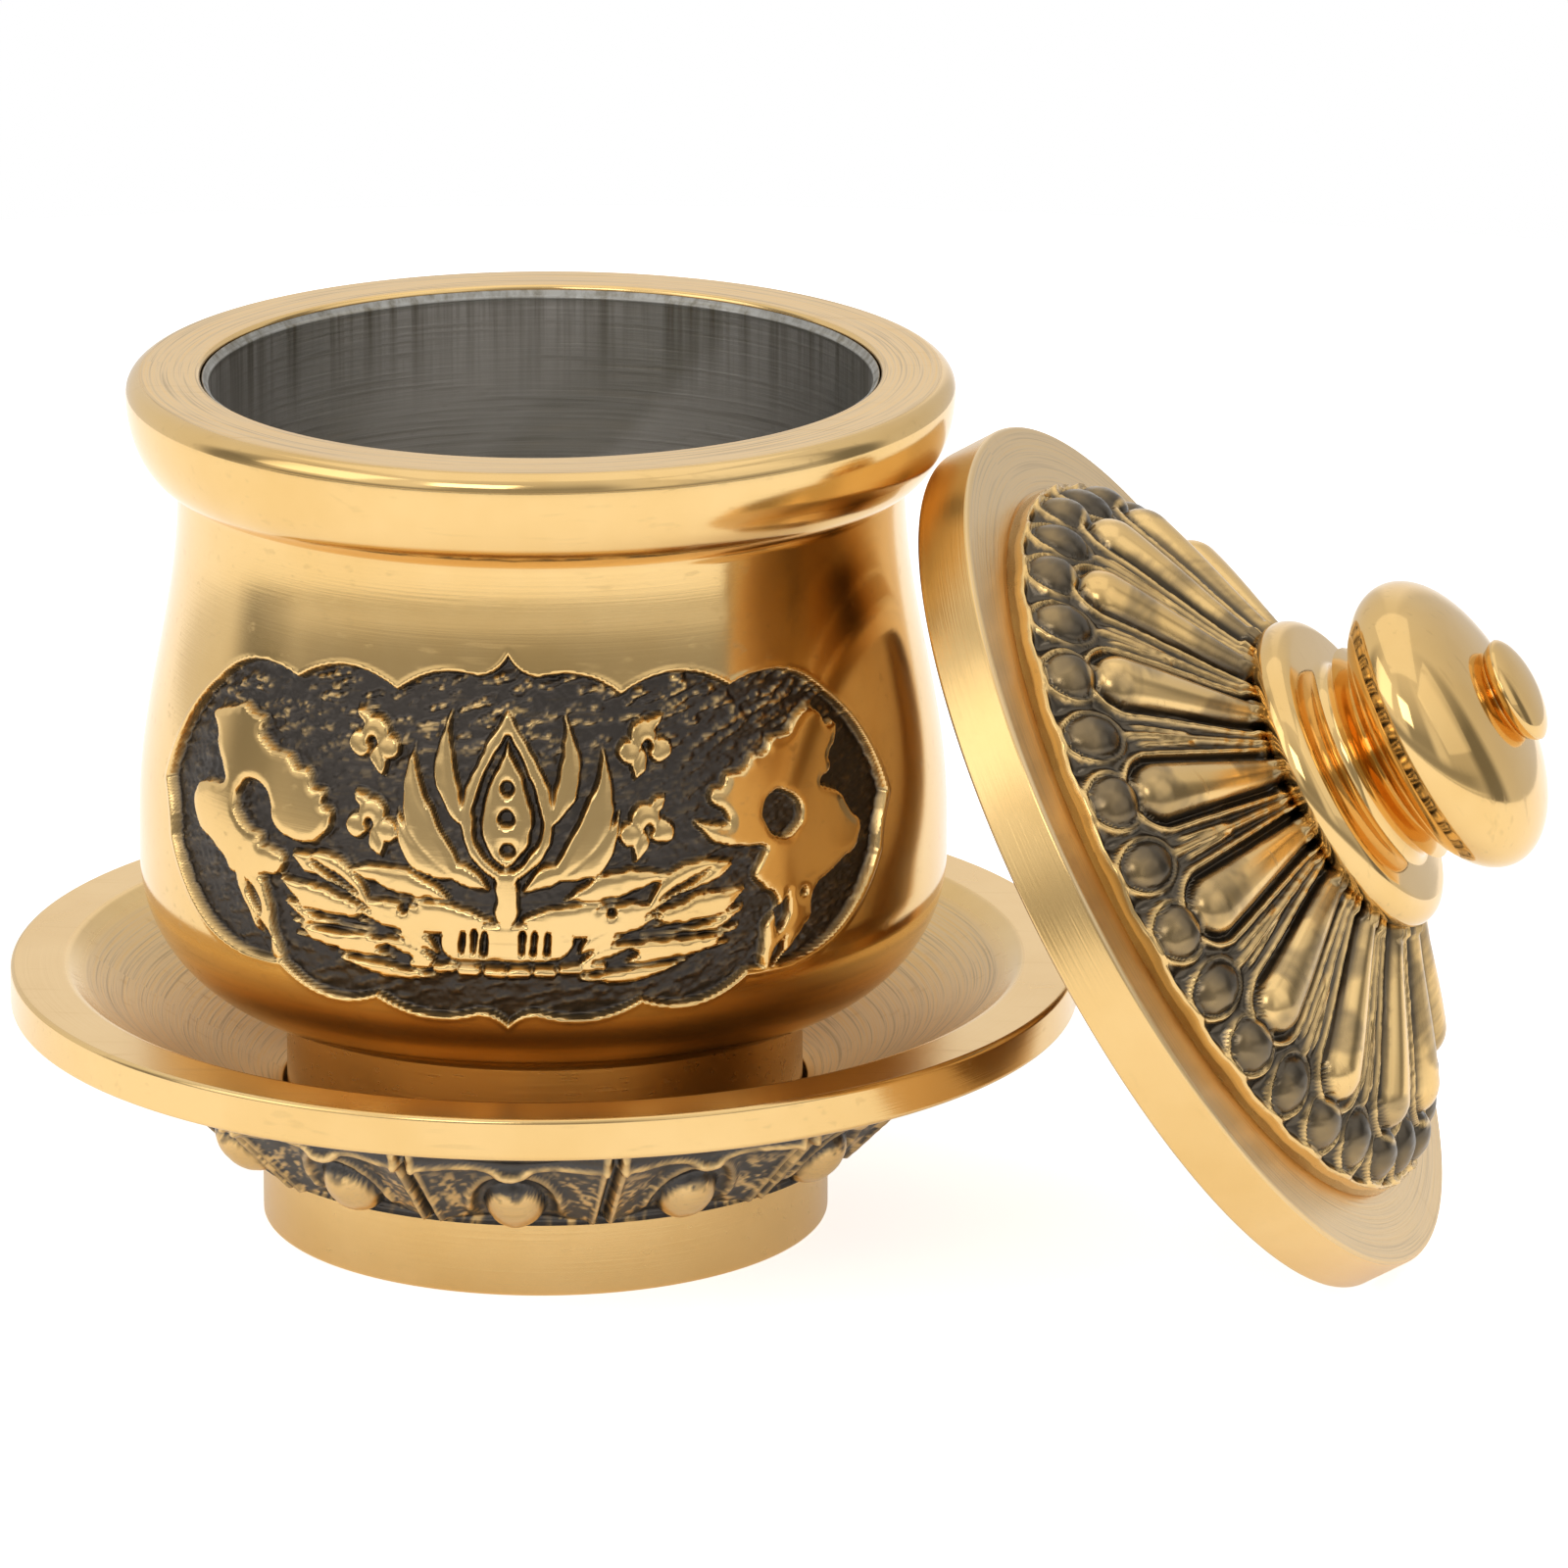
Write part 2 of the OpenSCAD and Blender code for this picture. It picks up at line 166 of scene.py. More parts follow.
def resampled(points: Array, step: float) -> Array:
    """Adds points along an outline, so that no stretch is long.

    Args:
        points: Rows of radius and height, in mm.
        step: Longest stretch allowed, in mm.

    Returns:
        The outline with its old and new points.
    """
    result = [points[0]]
    for a, b in zip(points[:-1], points[1:]):
        parts = max(1, math.ceil(float(np.linalg.norm(b - a)) / step))
        result += [a + (b - a) * (i / parts) for i in range(1, parts + 1)]
    return np.array(result)


def outline_normals(points: Array) -> Array:
    """Gives the outward normals of an outline that runs with the solid on its left.

    Args:
        points: Rows of radius and height.

    Returns:
        Unit normals, weighted by the length of the stretches that meet at each point.
    """
    run = np.diff(points, axis=0)
    side = np.stack([run[:, 1], -run[:, 0]], axis=1)
    normals = np.zeros_like(points)
    normals[:-1] += side
    normals[1:] += side
    length = np.linalg.norm(normals, axis=1, keepdims=True)
    return normals / np.maximum(length, TINY)


@dataclass
class Sheet:
    """A grid of points and normals, wrapped round the axis or open."""

    points: Array
    normals: Array
    wrapped: bool = True
    window: Array | None = None

    def faces(self) -> Array:
        """Lists the grid's cells as quads, without those that the window leaves out.

        Returns:
            Rows of four point numbers.
        """
        rows, cols = self.points.shape[:2]
        last = cols if self.wrapped else cols - 1
        i, j = np.meshgrid(np.arange(rows - 1), np.arange(last), indexing="ij")
        if self.window is not None:
            keep = ~self.window[: rows - 1, :last]
            i, j = i[keep], j[keep]
        i, j = i.ravel(), j.ravel()
        k = (j + 1) % cols
        return np.stack([i * cols + j, i * cols + k, (i + 1) * cols + k, (i + 1) * cols + j], axis=1)


def turned(points: Array, steps: int, relief: Array | None = None) -> Sheet:
    """Turns an outline about the vertical axis.

    Args:
        points: Rows of radius and height, in mm, with the solid on the left of the run.
        steps: Number of cells round the axis.
        relief: Height to raise each grid point along the outline's normal, in mm.

    Returns:
        The turned sheet, in mm.
    """
    flat = outline_normals(points)
    turn = turns(steps) - math.pi / 2.0
    lift = np.zeros((len(points), steps)) if relief is None else relief
    radius = points[:, 0:1] + flat[:, 0:1] * lift
    height = points[:, 1:2] + flat[:, 1:2] * lift
    cos, sin = np.cos(turn)[None, :], np.sin(turn)[None, :]
    grid = np.stack([radius * cos, radius * sin, np.broadcast_to(height, radius.shape)], axis=2)
    if relief is None:
        normals = np.stack(
            [flat[:, 0:1] * cos, flat[:, 0:1] * sin, np.repeat(flat[:, 1:2], steps, axis=1)], axis=2
        )
    else:
        normals = sheet_normals(grid, wrapped=True)
    return Sheet(grid, normals)


def sheet_normals(grid: Array, wrapped: bool) -> Array:
    """Works out the normals of a grid from the differences between neighbours.

    Args:
        grid: The points, by row and column.
        wrapped: Whether the last column meets the first.

    Returns:
        Unit normals, one for each point.
    """
    down = np.gradient(grid, axis=0)
    if wrapped:
        across = (np.roll(grid, -1, axis=1) - np.roll(grid, 1, axis=1)) / 2.0
    else:
        across = np.gradient(grid, axis=1)
    normals = np.cross(across, down)
    return normals / np.maximum(np.linalg.norm(normals, axis=2, keepdims=True), TINY)


def make_piece(
    name: str,
    sheet: Sheet,
    bare: Array | float = 1.0,
    satin: Array | float = 0.0,
    place: Matrix | None = None,
) -> bpy.types.Object:
    """Makes a mesh object from a sheet.

    Args:
        name: Name of the piece.
        sheet: The grid, in mm.
        bare: How bare the metal is at each point, from 0 to 1.
        satin: How matt the metal is at each point, from 0 to 1.
        place: Where the piece's own frame lies, if not at the origin.

    Returns:
        The new object, linked to the scene.
    """
    rows, cols = sheet.points.shape[:2]
    quads = sheet.faces()
    used = np.zeros(rows * cols, dtype=bool)
    used[quads.ravel()] = True
    order = np.cumsum(used) - 1
    own = sheet.points.reshape(-1, 3)[used] * MM
    normals = sheet.normals.reshape(-1, 3)[used]
    points = own
    if place is not None:
        turn = np.array(place.to_3x3())
        points = own @ turn.T + np.array(place.translation)
        normals = normals @ turn.T
    mesh = bpy.data.meshes.new(name)
    mesh.from_pydata(points.tolist(), [], order[quads].tolist())
    for mark, values in (("bare", bare), ("satin", satin)):
        flat = np.broadcast_to(values, (rows, cols)).reshape(-1)[used].astype(np.float32)
        mesh.attributes.new(mark, "FLOAT", "POINT").data.foreach_set("value", flat)
    mesh.polygons.foreach_set("use_smooth", np.ones(len(mesh.polygons), dtype=bool))
    spots = mesh.attributes.new("own_spot", "FLOAT_VECTOR", "POINT")
    spots.data.foreach_set("vector", own.astype(np.float32).ravel())
    mesh.normals_split_custom_set_from_vertices(normals.tolist())
    mesh.update()
    piece = bpy.data.objects.new(name, mesh)
    bpy.context.scene.collection.objects.link(piece)
    return piece


def polygon_depth(x: Array, y: Array, corners: Array) -> Array:
    """Measures how deep points lie inside a closed outline.

    Args:
        x: First coordinates, in mm.
        y: Second coordinates, in mm.
        corners: The outline's points, in order.

    Returns:
        Distance to the outline, positive inside and negative outside.
    """
    least = np.full(x.shape, np.inf)
    inside = np.zeros(x.shape, dtype=bool)
    for (ax, ay), (bx, by) in zip(corners, np.roll(corners, -1, axis=0)):
        ex, ey = bx - ax, by - ay
        along = np.clip(((x - ax) * ex + (y - ay) * ey) / max(ex * ex + ey * ey, TINY), 0.0, 1.0)
        least = np.minimum(least, np.hypot(x - ax - along * ex, y - ay - along * ey))
        if ay != by:
            crosses = ((ay > y) != (by > y)) & (x < ex * (y - ay) / ey + ax)
            inside ^= crosses
    return np.where(inside, least, -least)


@dataclass
class Carver:
    """Draws raised figures on a flat field, each as a depth inside its edge in mm."""

    x: Array
    y: Array

    def disc(self, cx: float, cy: float, radius: float) -> Array:
        """Gives a round figure."""
        return radius - np.hypot(self.x - cx, self.y - cy)

    def bar(self, start: Point, end: Point, half: float) -> Array:
        """Gives a straight bar with round ends.

        Args:
            start: Middle of its first end.
            end: Middle of its last end.
            half: Its half width.

        Returns:
            Depth inside the bar's edge.
        """
        ex, ey = end[0] - start[0], end[1] - start[1]
        along = ((self.x - start[0]) * ex + (self.y - start[1]) * ey) / (ex * ex + ey * ey)
        along = np.clip(along, 0.0, 1.0)
        return half - np.hypot(self.x - start[0] - along * ex, self.y - start[1] - along * ey)

    def leaf(self, root: Point, tip: Point, half: float, bend: float = 0.0, fat: float = 1.0) -> Array:
        """Gives a pointed leaf.

        Args:
            root: Where the leaf starts.
            tip: Where it ends.
            half: Its greatest half width.
            bend: How far its middle bows to the left.
            fat: Below 1 the leaf is widest near its root.

        Returns:
            Depth inside the leaf's edge.
        """
        ex, ey = tip[0] - root[0], tip[1] - root[1]
        length = math.hypot(ex, ey)
        along = ((self.x - root[0]) * ex + (self.y - root[1]) * ey) / (length * length)
        across = ((self.y - root[1]) * ex - (self.x - root[0]) * ey) / length
        inner = np.clip(along, 0.0, 1.0)
        width = half * np.sin(math.pi * inner**fat)
        off = np.abs(across - bend * 4.0 * inner * (1.0 - inner))
        past = np.abs(along - inner) * length
        return np.where(past > 0.0, -np.hypot(past, off), width - off)

    def leaves(self, side: float, rows: tuple, fat: float = 1.0) -> Array:
        """Gives a group of leaves on one side of the field.

        Args:
            side: 1 for the right, or -1 for the same leaves mirrored.
            rows: Root, tip, half width and bend of each leaf.
            fat: Below 1 the leaves are widest near their roots.

        Returns:
            Depth inside the leaves' edges.
        """
        return np.maximum.reduce([
            self.leaf((side * root[0], root[1]), (side * tip[0], tip[1]), half, side * bend, fat)
            for root, tip, half, bend in rows
        ])

    def shape(self, corners: Array) -> Array:
        """Gives a figure with any closed outline."""
        return polygon_depth(self.x, self.y, corners)


@dataclass
class PanelCarving:
    """The sunk, lobed panel on the cup: lotus, leaves, clouds and a flaming jewel."""

    depth: float = 0.8
    middle_radius: float = 28.0
    edge: float = 0.13
    bend_steps: int = 12
    wobble: float = 0.22
    rim_h: float = 0.05
    rim_w: float = 0.16
    pillow_h: float = 0.06
    flames: ClassVar[tuple] = (
        ((2.6, 32.6), (6.9, 41.8), 1.15, -1.5), ((3.2, 33.0), (7.9, 37.4), 0.95, -1.0),
        ((2.9, 36.4), (4.2, 44.2), 0.8, -0.9), ((1.2, 32.2), (5.6, 33.6), 0.7, 0.5),
    )
    spread: ClassVar[tuple] = (
        ((9.6, 30.4), (16.1, 33.3), 1.4, 0.4), ((4.0, 31.5), (11.8, 32.9), 0.85, 0.4),
        ((10.2, 29.9), (17.0, 31.4), 1.1, -0.4), ((0.9, 30.1), (11.2, 30.8), 1.2, -0.35),
        ((9.2, 28.8), (16.8, 30.0), 0.9, -0.4), ((8.0, 28.0), (16.4, 28.7), 0.74, -0.4),
        ((8.0, 26.9), (15.8, 27.6), 0.58, 0.3), ((4.8, 27.6), (10.6, 30.1), 0.78, 0.5),
        ((4.9, 25.9), (12.4, 26.7), 0.46, -0.3), ((4.9, 26.9), (9.4, 28.2), 0.5, 0.3),
    )
    veins: ClassVar[tuple] = (
        ((9.4, 30.1), (16.4, 32.2), 0.3, 0.3), ((7.4, 28.9), (15.2, 29.6), 0.3, -0.2),
        ((9.0, 28.6), (15.4, 28.4), 0.24, 0.0), ((10.6, 31.3), (14.2, 33.0), 0.22, 0.0),
        ((6.2, 30.9), (9.8, 31.6), 0.26, 0.0),
    )

    def outline(self) -> Array:
        """Draws the panel's lobed and pointed edge.

        Returns:
            The closed outline, in mm across and up.
        """
        corners = [
            (0.0, 48.4, -0.35), (4.6, 46.9, 0.75), (17.0, 45.6, 1.3), (34.4, 45.4, 1.35), (52.0, 43.6, 0.9),
            (63.4, 35.3, -0.3), (60.0, 31.6, 2.3), (34.6, 25.3, 1.25), (19.0, 24.1, 0.9), (4.2, 23.3, -0.3),
            (0.0, 22.2, 0.0),
        ]
        half: list[Point] = []
        for (a0, z0, bow), (a1, z1, _) in zip(corners[:-1], corners[1:]):
            start = np.array([math.radians(a0) * self.middle_radius, z0])
            end = np.array([math.radians(a1) * self.middle_radius, z1])
            chord = end - start
            out = np.array([-chord[1], chord[0]]) / np.linalg.norm(chord)
            for t in np.linspace(0.0, 1.0, self.bend_steps, endpoint=False):
                half.append(tuple(start + chord * t + out * bow * 4.0 * t * (1.0 - t)))
        half.append((0.0, corners[-1][1]))
        mirrored = [(-x, z) for x, z in half[1:-1]]
        return np.array(half + mirrored[::-1])

    def figures(self, draw: Carver) -> Array:
        """Draws everything that stands up to the cup's own surface.

        Args:
            draw: The field to draw on.

        Returns:
            Depth inside the figures' edges.
        """
        parts = [self.jewel(draw)]
        for side in (-1.0, 1.0):
            parts += [self.cloud(draw, side * 9.9, 42.0, side), self.cloud(draw, side * 9.7, 36.4, side)]
            parts.append(self.petals(draw, side))
        parts += [self.left_plant(draw), self.right_plant(draw), self.pod(draw)]
        return np.maximum.reduce(parts)

    def jewel(self, draw: Carver) -> Array:
        """Draws the jewel, its flames and its stem.

        Args:
            draw: The field to draw on.

        Returns:
            Depth inside the figures' edges.
        """
        body = draw.leaf((0.0, 32.6), (0.0, 44.6), 3.3, fat=0.72)
        groove = 0.32 - np.abs(draw.leaf((0.0, 33.6), (0.0, 42.6), 2.1, fat=0.72))
        parts = [np.minimum(body, -groove), draw.bar((0.0, 33.0), (0.0, 30.4), 0.75)]
        for side in (-1.0, 1.0):
            parts.append(draw.leaves(side, self.flames, fat=0.8))
        figure = np.maximum.reduce(parts)
        for cx, cz in ((0.0, 35.0), (0.0, 37.2), (0.0, 39.3)):
            figure = np.minimum(figure, -draw.disc(cx, cz, 0.5))
        return figure

    def cloud(self, draw: Carver, cx: float, cz: float, side: float) -> Array:
        """Draws one small scrolled cloud.

        Args:
            draw: The field to draw on.
            cx: Place of its middle across, in mm.
            cz: Height of its middle, in mm.
            side: 1 on the right, or -1 for its mirror image.

        Returns:
            Depth inside the cloud's edge.
        """
        parts = [
            draw.disc(cx, cz + 0.6, 1.05), draw.disc(cx - side * 1.1, cz - 0.5, 0.85),
            draw.disc(cx + side * 1.15, cz - 0.4, 0.9),
            draw.leaf((cx, cz - 0.2), (cx - side * 0.8, cz - 2.4), 0.6),
            draw.leaf((cx, cz + 0.8), (cx + side * 1.6, cz + 2.0), 0.45),
        ]
        figure = np.maximum.reduce(parts)
        return np.minimum(figure, -draw.disc(cx + side * 0.2, cz - 0.2, 0.3))

    def rounded(self, corners: list[Point]) -> Array:
        """Cuts the corners of a closed outline twice, so that it runs in soft bends.

        Args:
            corners: The outline's corners, in order.

        Returns:
            The softened outline.
        """
        points = np.array(corners)
        for _ in range(2):
            after = np.roll(points, -1, axis=0)
            cuts = (points * 0.75 + after * 0.25, points * 0.25 + after * 0.75)
            points = np.stack(cuts, axis=1).reshape(-1, 2)
        return points

    def left_plant(self, draw: Carver) -> Array:
        """Draws the broad folded leaf and its split stem at the panel's left end.

        Args:
            draw: The field to draw on.

        Returns:
            Depth inside the figures' edges.
        """
        leaf = self.rounded([
            (-25.7, 41.2), (-24.6, 41.9), (-22.9, 42.2), (-21.9, 42.7), (-20.9, 41.9), (-19.8, 42.1),
            (-20.1, 40.9), (-19.0, 40.2), (-17.6, 39.8), (-16.9, 40.2), (-16.4, 39.1), (-14.9, 39.2),
            (-14.9, 38.0), (-13.5, 38.1), (-13.9, 36.9), (-12.8, 36.8), (-13.0, 35.4), (-14.0, 34.2),
            (-15.6, 34.1), (-17.3, 34.4), (-18.0, 35.4), (-18.3, 36.5), (-19.2, 37.6), (-20.6, 37.6),
            (-21.6, 36.8), (-21.8, 35.4), (-20.6, 34.2), (-18.8, 34.1), (-19.1, 33.2), (-17.6, 33.4),
            (-16.5, 32.7), (-17.2, 31.4), (-18.6, 31.4), (-19.2, 30.7), (-20.4, 31.0), (-21.6, 30.6),
            (-22.6, 31.8), (-23.6, 32.3), (-25.8, 33.2), (-26.9, 34.9), (-26.0, 36.4), (-24.4, 36.6),
            (-22.9, 37.0), (-23.6, 38.2), (-24.4, 39.0), (-24.6, 40.2),
        ])
        stem = self.rounded([
            (-21.4, 31.3), (-18.9, 31.6), (-17.9, 29.4), (-17.9, 28.0), (-16.6, 25.4), (-17.6, 25.3),
            (-19.6, 28.0), (-20.8, 29.6),
        ])
        figure = np.maximum(draw.shape(leaf), draw.shape(stem))
        slits = [draw.leaf((-20.2, 30.6), (-18.6, 28.4), 0.42), draw.leaf((-19.1, 28.2), (-17.6, 25.6), 0.4)]
        return np.minimum(figure, -np.maximum.reduce(slits))

    def right_plant(self, draw: Carver) -> Array:
        """Draws the broad pierced leaf and its stem at the panel's right end.

        Args:
            draw: The field to draw on.

        Returns:
            Depth inside the figures' edges.
        """
        leaf = self.rounded([
            (23.3, 42.9), (24.6, 42.4), (25.2, 41.2), (26.4, 41.5), (26.0, 40.0), (25.0, 39.2),
            (25.2, 38.2), (23.6, 37.6), (24.6, 36.9), (25.8, 36.6), (26.2, 35.3), (27.9, 34.0),
            (26.9, 32.2), (25.4, 31.8), (23.8, 30.8), (22.6, 30.4), (22.4, 28.4), (21.0, 26.8),
            (19.0, 25.0), (18.1, 25.2), (18.2, 27.4), (18.4, 28.6), (19.8, 29.8), (18.8, 30.8),
            (17.4, 31.8), (18.2, 33.0), (18.9, 34.0), (17.2, 34.2), (15.4, 34.4), (14.0, 35.2),
            (13.1, 36.5), (14.4, 36.3), (15.9, 35.7), (16.0, 36.6), (14.4, 37.5), (14.8, 38.6),
            (15.6, 38.5), (15.8, 39.6), (17.4, 39.4), (18.0, 40.5), (19.2, 40.2), (19.8, 41.3),
            (21.2, 41.2), (22.2, 42.2),
        ])
        hole = self.rounded([
            (18.9, 37.4), (20.4, 37.7), (21.9, 36.6), (21.7, 35.1), (20.4, 34.2), (19.2, 34.9),
            (18.6, 36.0),
        ])
        cuts = [
            draw.shape(hole), draw.leaf((20.3, 30.4), (19.4, 27.6), 0.5),
            draw.leaf((20.0, 27.2), (18.8, 25.2), 0.32), draw.disc(21.6, 30.2, 0.24),
        ]
        return np.minimum(draw.shape(leaf), -np.maximum.reduce(cuts))

    def petals(self, draw: Carver, side: float) -> Array:
        """Draws the open lotus petals on one side of the pod.

        Args:
            draw: The field to draw on.
            side: 1 for the right, or -1 for the left.

        Returns:
            Depth inside the petals' edges.
        """
        cuts = np.maximum(draw.leaves(side, self.veins), draw.disc(side * 7.2, 30.6, 0.3))
        return np.minimum(draw.leaves(side, self.spread, fat=0.85), -cuts)

    def pod(self, draw: Carver) -> Array:
        """Draws the lotus pod with its slits and the row of seeds below it.

        Args:
            draw: The field to draw on.

        Returns:
            Depth inside the figures' edges.
        """
        body = draw.bar((-3.2, 28.5), (3.2, 28.5), 1.35)
        slits = [draw.bar((x, 27.8), (x + 0.12, 29.1), 0.17) for x in (-3.1, -2.3, -1.6, 1.0, 1.8, 2.7)]
        figure = np.minimum(body, -np.maximum.reduce(slits))
        seeds = []
        for x in np.linspace(-6.0, 6.0, 8):
            seed_z = 26.3 + 0.012 * x * x
            seeds.append(draw.bar((x - 0.5, seed_z), (x + 0.5, seed_z), 0.36))
        return np.maximum(figure, np.maximum.reduce(seeds))

    def carve(self, turn: Array, height: Array) -> tuple[Array, Array]:
        """Works out the panel's relief.

        Args:
            turn: Angle from the panel's middle, in radians.
            height: Height above the table, in mm.

        Returns:
            Relief in mm, below 0 where the ground is sunk, and how bare the brass is, from 0 to 1.
        """
        x, z = turn * self.middle_radius, height
        inside = polygon_depth(x, z, self.outline())
        draw = Carver(x, z)
        figure = self.figures(draw) + (lattice_noise(x * 1.3, z * 1.3, 21.0) - 0.5) * self.wobble
        sunk = smooth(0.0, 2.0 * self.edge, inside) * (1.0 - smooth(-self.edge, self.edge, figure))
        grain = lattice_noise(x * 0.8 + z * 0.6, z * 3.2 - x * 0.9, 3.0)
        fine = lattice_noise(x * 2.6 - z, z * 6.5 + x * 1.4, 8.0)
        upper = smooth(39.0, 46.5, z)
        scrape = smooth(0.4, 0.9, grain) * (0.14 + 0.22 * upper) + (fine - 0.5) * 0.1
        rim = self.rim_h * soft_ridge(inside + 0.15, self.rim_w)
        pillow = self.pillow_h * (1.0 - smooth(0.0, 0.7, figure)) * smooth(0.0, 0.2, inside)
        relief = -sunk * (self.depth - scrape) - pillow * (1.0 - sunk) + rim
        glint = smooth(0.5, 0.78, grain) * smooth(0.45, 0.75, fine) * (0.08 + 0.8 * upper)
        bare = np.clip(1.0 - sunk * (1.0 - glint), 0.0, 1.0)
        return relief, bare


@dataclass
class Cup:
    """The cup's shell with its two carved panels, and the grey liner."""

    lip_r: float
    lip_z: float
    base_z: float
    lip_h: float = 6.1
    lip_round: float = 1.3
    neck_r: float = 25.6
    neck_h: float = 0.8
    belly_r: float = 28.65
    belly_z: float = 29.6
    belly_round: float = 10.2
    belly_bottom_z: float = 16.6
    foot_r: float = 18.4
    foot_wall: float = 2.6
    bore_r: float = 23.9
    floor_z: float = 19.4
    floor_round: float = 9.0
    liner_gap: float = 0.1
    liner_wall: float = 0.5
    liner_steps: int = 384
    liner_drop: float = 0.3
    steps: int = 512
    panel_cells: int = 96
    panel_fine: int = 3
    panel_low_z: float = 20.4
    panel_high_z: float = 49.8
    panel_row: float = 0.185

    @classmethod
    def from_frame(cls) -> "Cup":
        """Takes the cup's outer sizes from the CAD solid."""
        low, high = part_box("cup_shell")
        return cls(lip_r=(high[0] - low[0]) / 2.0 / MM, lip_z=high[2] / MM, base_z=low[2] / MM)

    @property
    def neck_top_z(self) -> float:
        """Height at which the lip's flank starts."""
        return self.lip_z - self.lip_round - self.lip_h

    def wall_radius(self, z: Array) -> Array:
        """Works out the outer radius of the belly and the neck.

        Args:
            z: Heights, in mm.

        Returns:
            The radius at each height, in mm.
        """
        round_z = self.belly_bottom_z + self.belly_round
        under = np.clip(round_z - z, 0.0, self.belly_round)
        low = self.belly_r - self.belly_round + np.sqrt(np.maximum(self.belly_round**2 - under**2, 0.0))
        t = np.clip((z - self.belly_z) / (self.neck_top_z - self.neck_h - self.belly_z), 0.0, 1.0)
        high = self.neck_r + (self.belly_r - self.neck_r) * (1.0 + np.cos(math.pi * t)) / 2.0
        return np.where(z < self.belly_z, low, high)

    def outline(self) -> Array:
        """Draws the shell from under its foot, up the outside and down the bore.

        Returns:
            Points as rows of radius and height.
        """
        under_r = self.foot_r - self.foot_wall
        foot = filleted([
            (AXIS_R, self.belly_bottom_z, 0.0), (under_r, self.belly_bottom_z, 0.8),
            (under_r, self.base_z, 0.4), (self.foot_r, self.base_z, 0.4),
            (self.foot_r, self.belly_bottom_z - 0.15, 0.0),
        ])
        middle = (self.belly_r - self.belly_round, self.belly_bottom_z + self.belly_round)
        belly = arc(middle, self.belly_round, -88.0, -50.0, 16)
        wall_z = np.concatenate([
            np.linspace(belly[-1, 1], self.panel_low_z, 4)[1:],
            np.linspace(self.panel_low_z, self.panel_high_z, 50)[1:],
            np.linspace(self.panel_high_z, self.neck_top_z, 8)[1:],
        ])
        wall = np.stack([self.wall_radius(wall_z), wall_z], axis=1)
        t = np.linspace(0.0, 1.0, 33)[1:] ** 1.6
        flank_r = self.neck_r + (self.lip_r - self.neck_r) * np.sqrt(1.0 - (1.0 - t) ** 2)
        flank = np.stack([flank_r, self.neck_top_z + self.lip_h * t], axis=1)
        lip = arc((self.lip_r - self.lip_round, self.lip_z - self.lip_round), self.lip_round, 6.0, 90.0, 14)
        edge = arc((self.bore_r + 0.35, self.lip_z - 0.35), 0.35, 90.0, 180.0, 5)
        centre = (self.bore_r - self.floor_round, self.floor_z + self.floor_round)
        floor = arc(centre, self.floor_round, 0.0, -90.0, 12)
        return np.concatenate([foot, belly, wall, flank, lip, edge, floor, [[AXIS_R, self.floor_z]]])

    def build(self, finishes: "Finishes") -> list[bpy.types.Object]:
        """Builds and dresses the shell, its panels and the liner.

        Args:
            finishes: The materials of the set.

        Returns:
            The new pieces.
        """
        return [
            self.shell(finishes),
            self.panel("cup_panel_front", 0.0, finishes),
            self.panel("cup_panel_back", math.pi, finishes),
            self.liner(finishes),
        ]

    def shell(self, finishes: "Finishes") -> bpy.types.Object:
        """Builds the shell, open where the two panels go.

        Args:
            finishes: The materials of the set.

        Returns:
            The new piece.
        """
        points = self.outline()
        sheet = turned(points, self.steps)
        in_rows = (points[:, 1] >= self.panel_low_z - 1e-6) & (points[:, 1] < self.panel_high_z - 1e-6)
        in_rows &= points[:, 0] > self.bore_r + 0.5
        cell = np.arange(self.steps)
        front = np.abs(cell + 0.5 - self.steps / 2) < self.panel_cells
        back = (cell + 0.5 < self.panel_cells) | (cell + 0.5 > self.steps - self.panel_cells)
        sheet.window = in_rows[:, None] & (front | back)[None, :]
        top = (points[:, 1] > self.lip_z - 0.05).astype(float)
        foot = ((points[:, 1] < self.belly_bottom_z) & (points[:, 0] > self.foot_r - 0.5)).astype(float) * 0.5
        satin = np.maximum(top, foot)[:, None]
        piece = make_piece("cup_body", sheet, satin=satin)
        return dress(piece, Body.CUP, finishes.polished, ["cup_shell"])

    def panel(self, name: str, facing: float, finishes: "Finishes") -> bpy.types.Object:
        """Builds one carved panel.

        Args:
            name: Name of the piece.
            facing: Angle from the front, in radians.
            finishes: The materials of the set.

        Returns:
            The panel's piece.
        """
        reach = 2.0 * math.pi * self.panel_cells / self.steps
        cols = 2 * self.panel_cells * self.panel_fine
        rows = round((self.panel_high_z - self.panel_low_z) / self.panel_row)
        step_a, step_z = 2.0 * reach / cols, (self.panel_high_z - self.panel_low_z) / rows
        turn = -reach + step_a * np.arange(-1, cols + 2)
        height = self.panel_low_z + step_z * np.arange(-1, rows + 2)
        grid_z, grid_a = np.meshgrid(height, turn, indexing="ij")
        relief, bare = PanelCarving().carve(grid_a, grid_z)
        radius = self.wall_radius(grid_z) + relief
        spot = grid_a + facing
        grid = np.stack([radius * np.sin(spot), -radius * np.cos(spot), grid_z], axis=2)
        normals = sheet_normals(grid, wrapped=False)[1:-1, 1:-1]
        sheet = Sheet(grid[1:-1, 1:-1], normals, wrapped=False)
        piece = make_piece(name, sheet, bare[1:-1, 1:-1])
        return dress(piece, Body.CUP, finishes.carved, [])

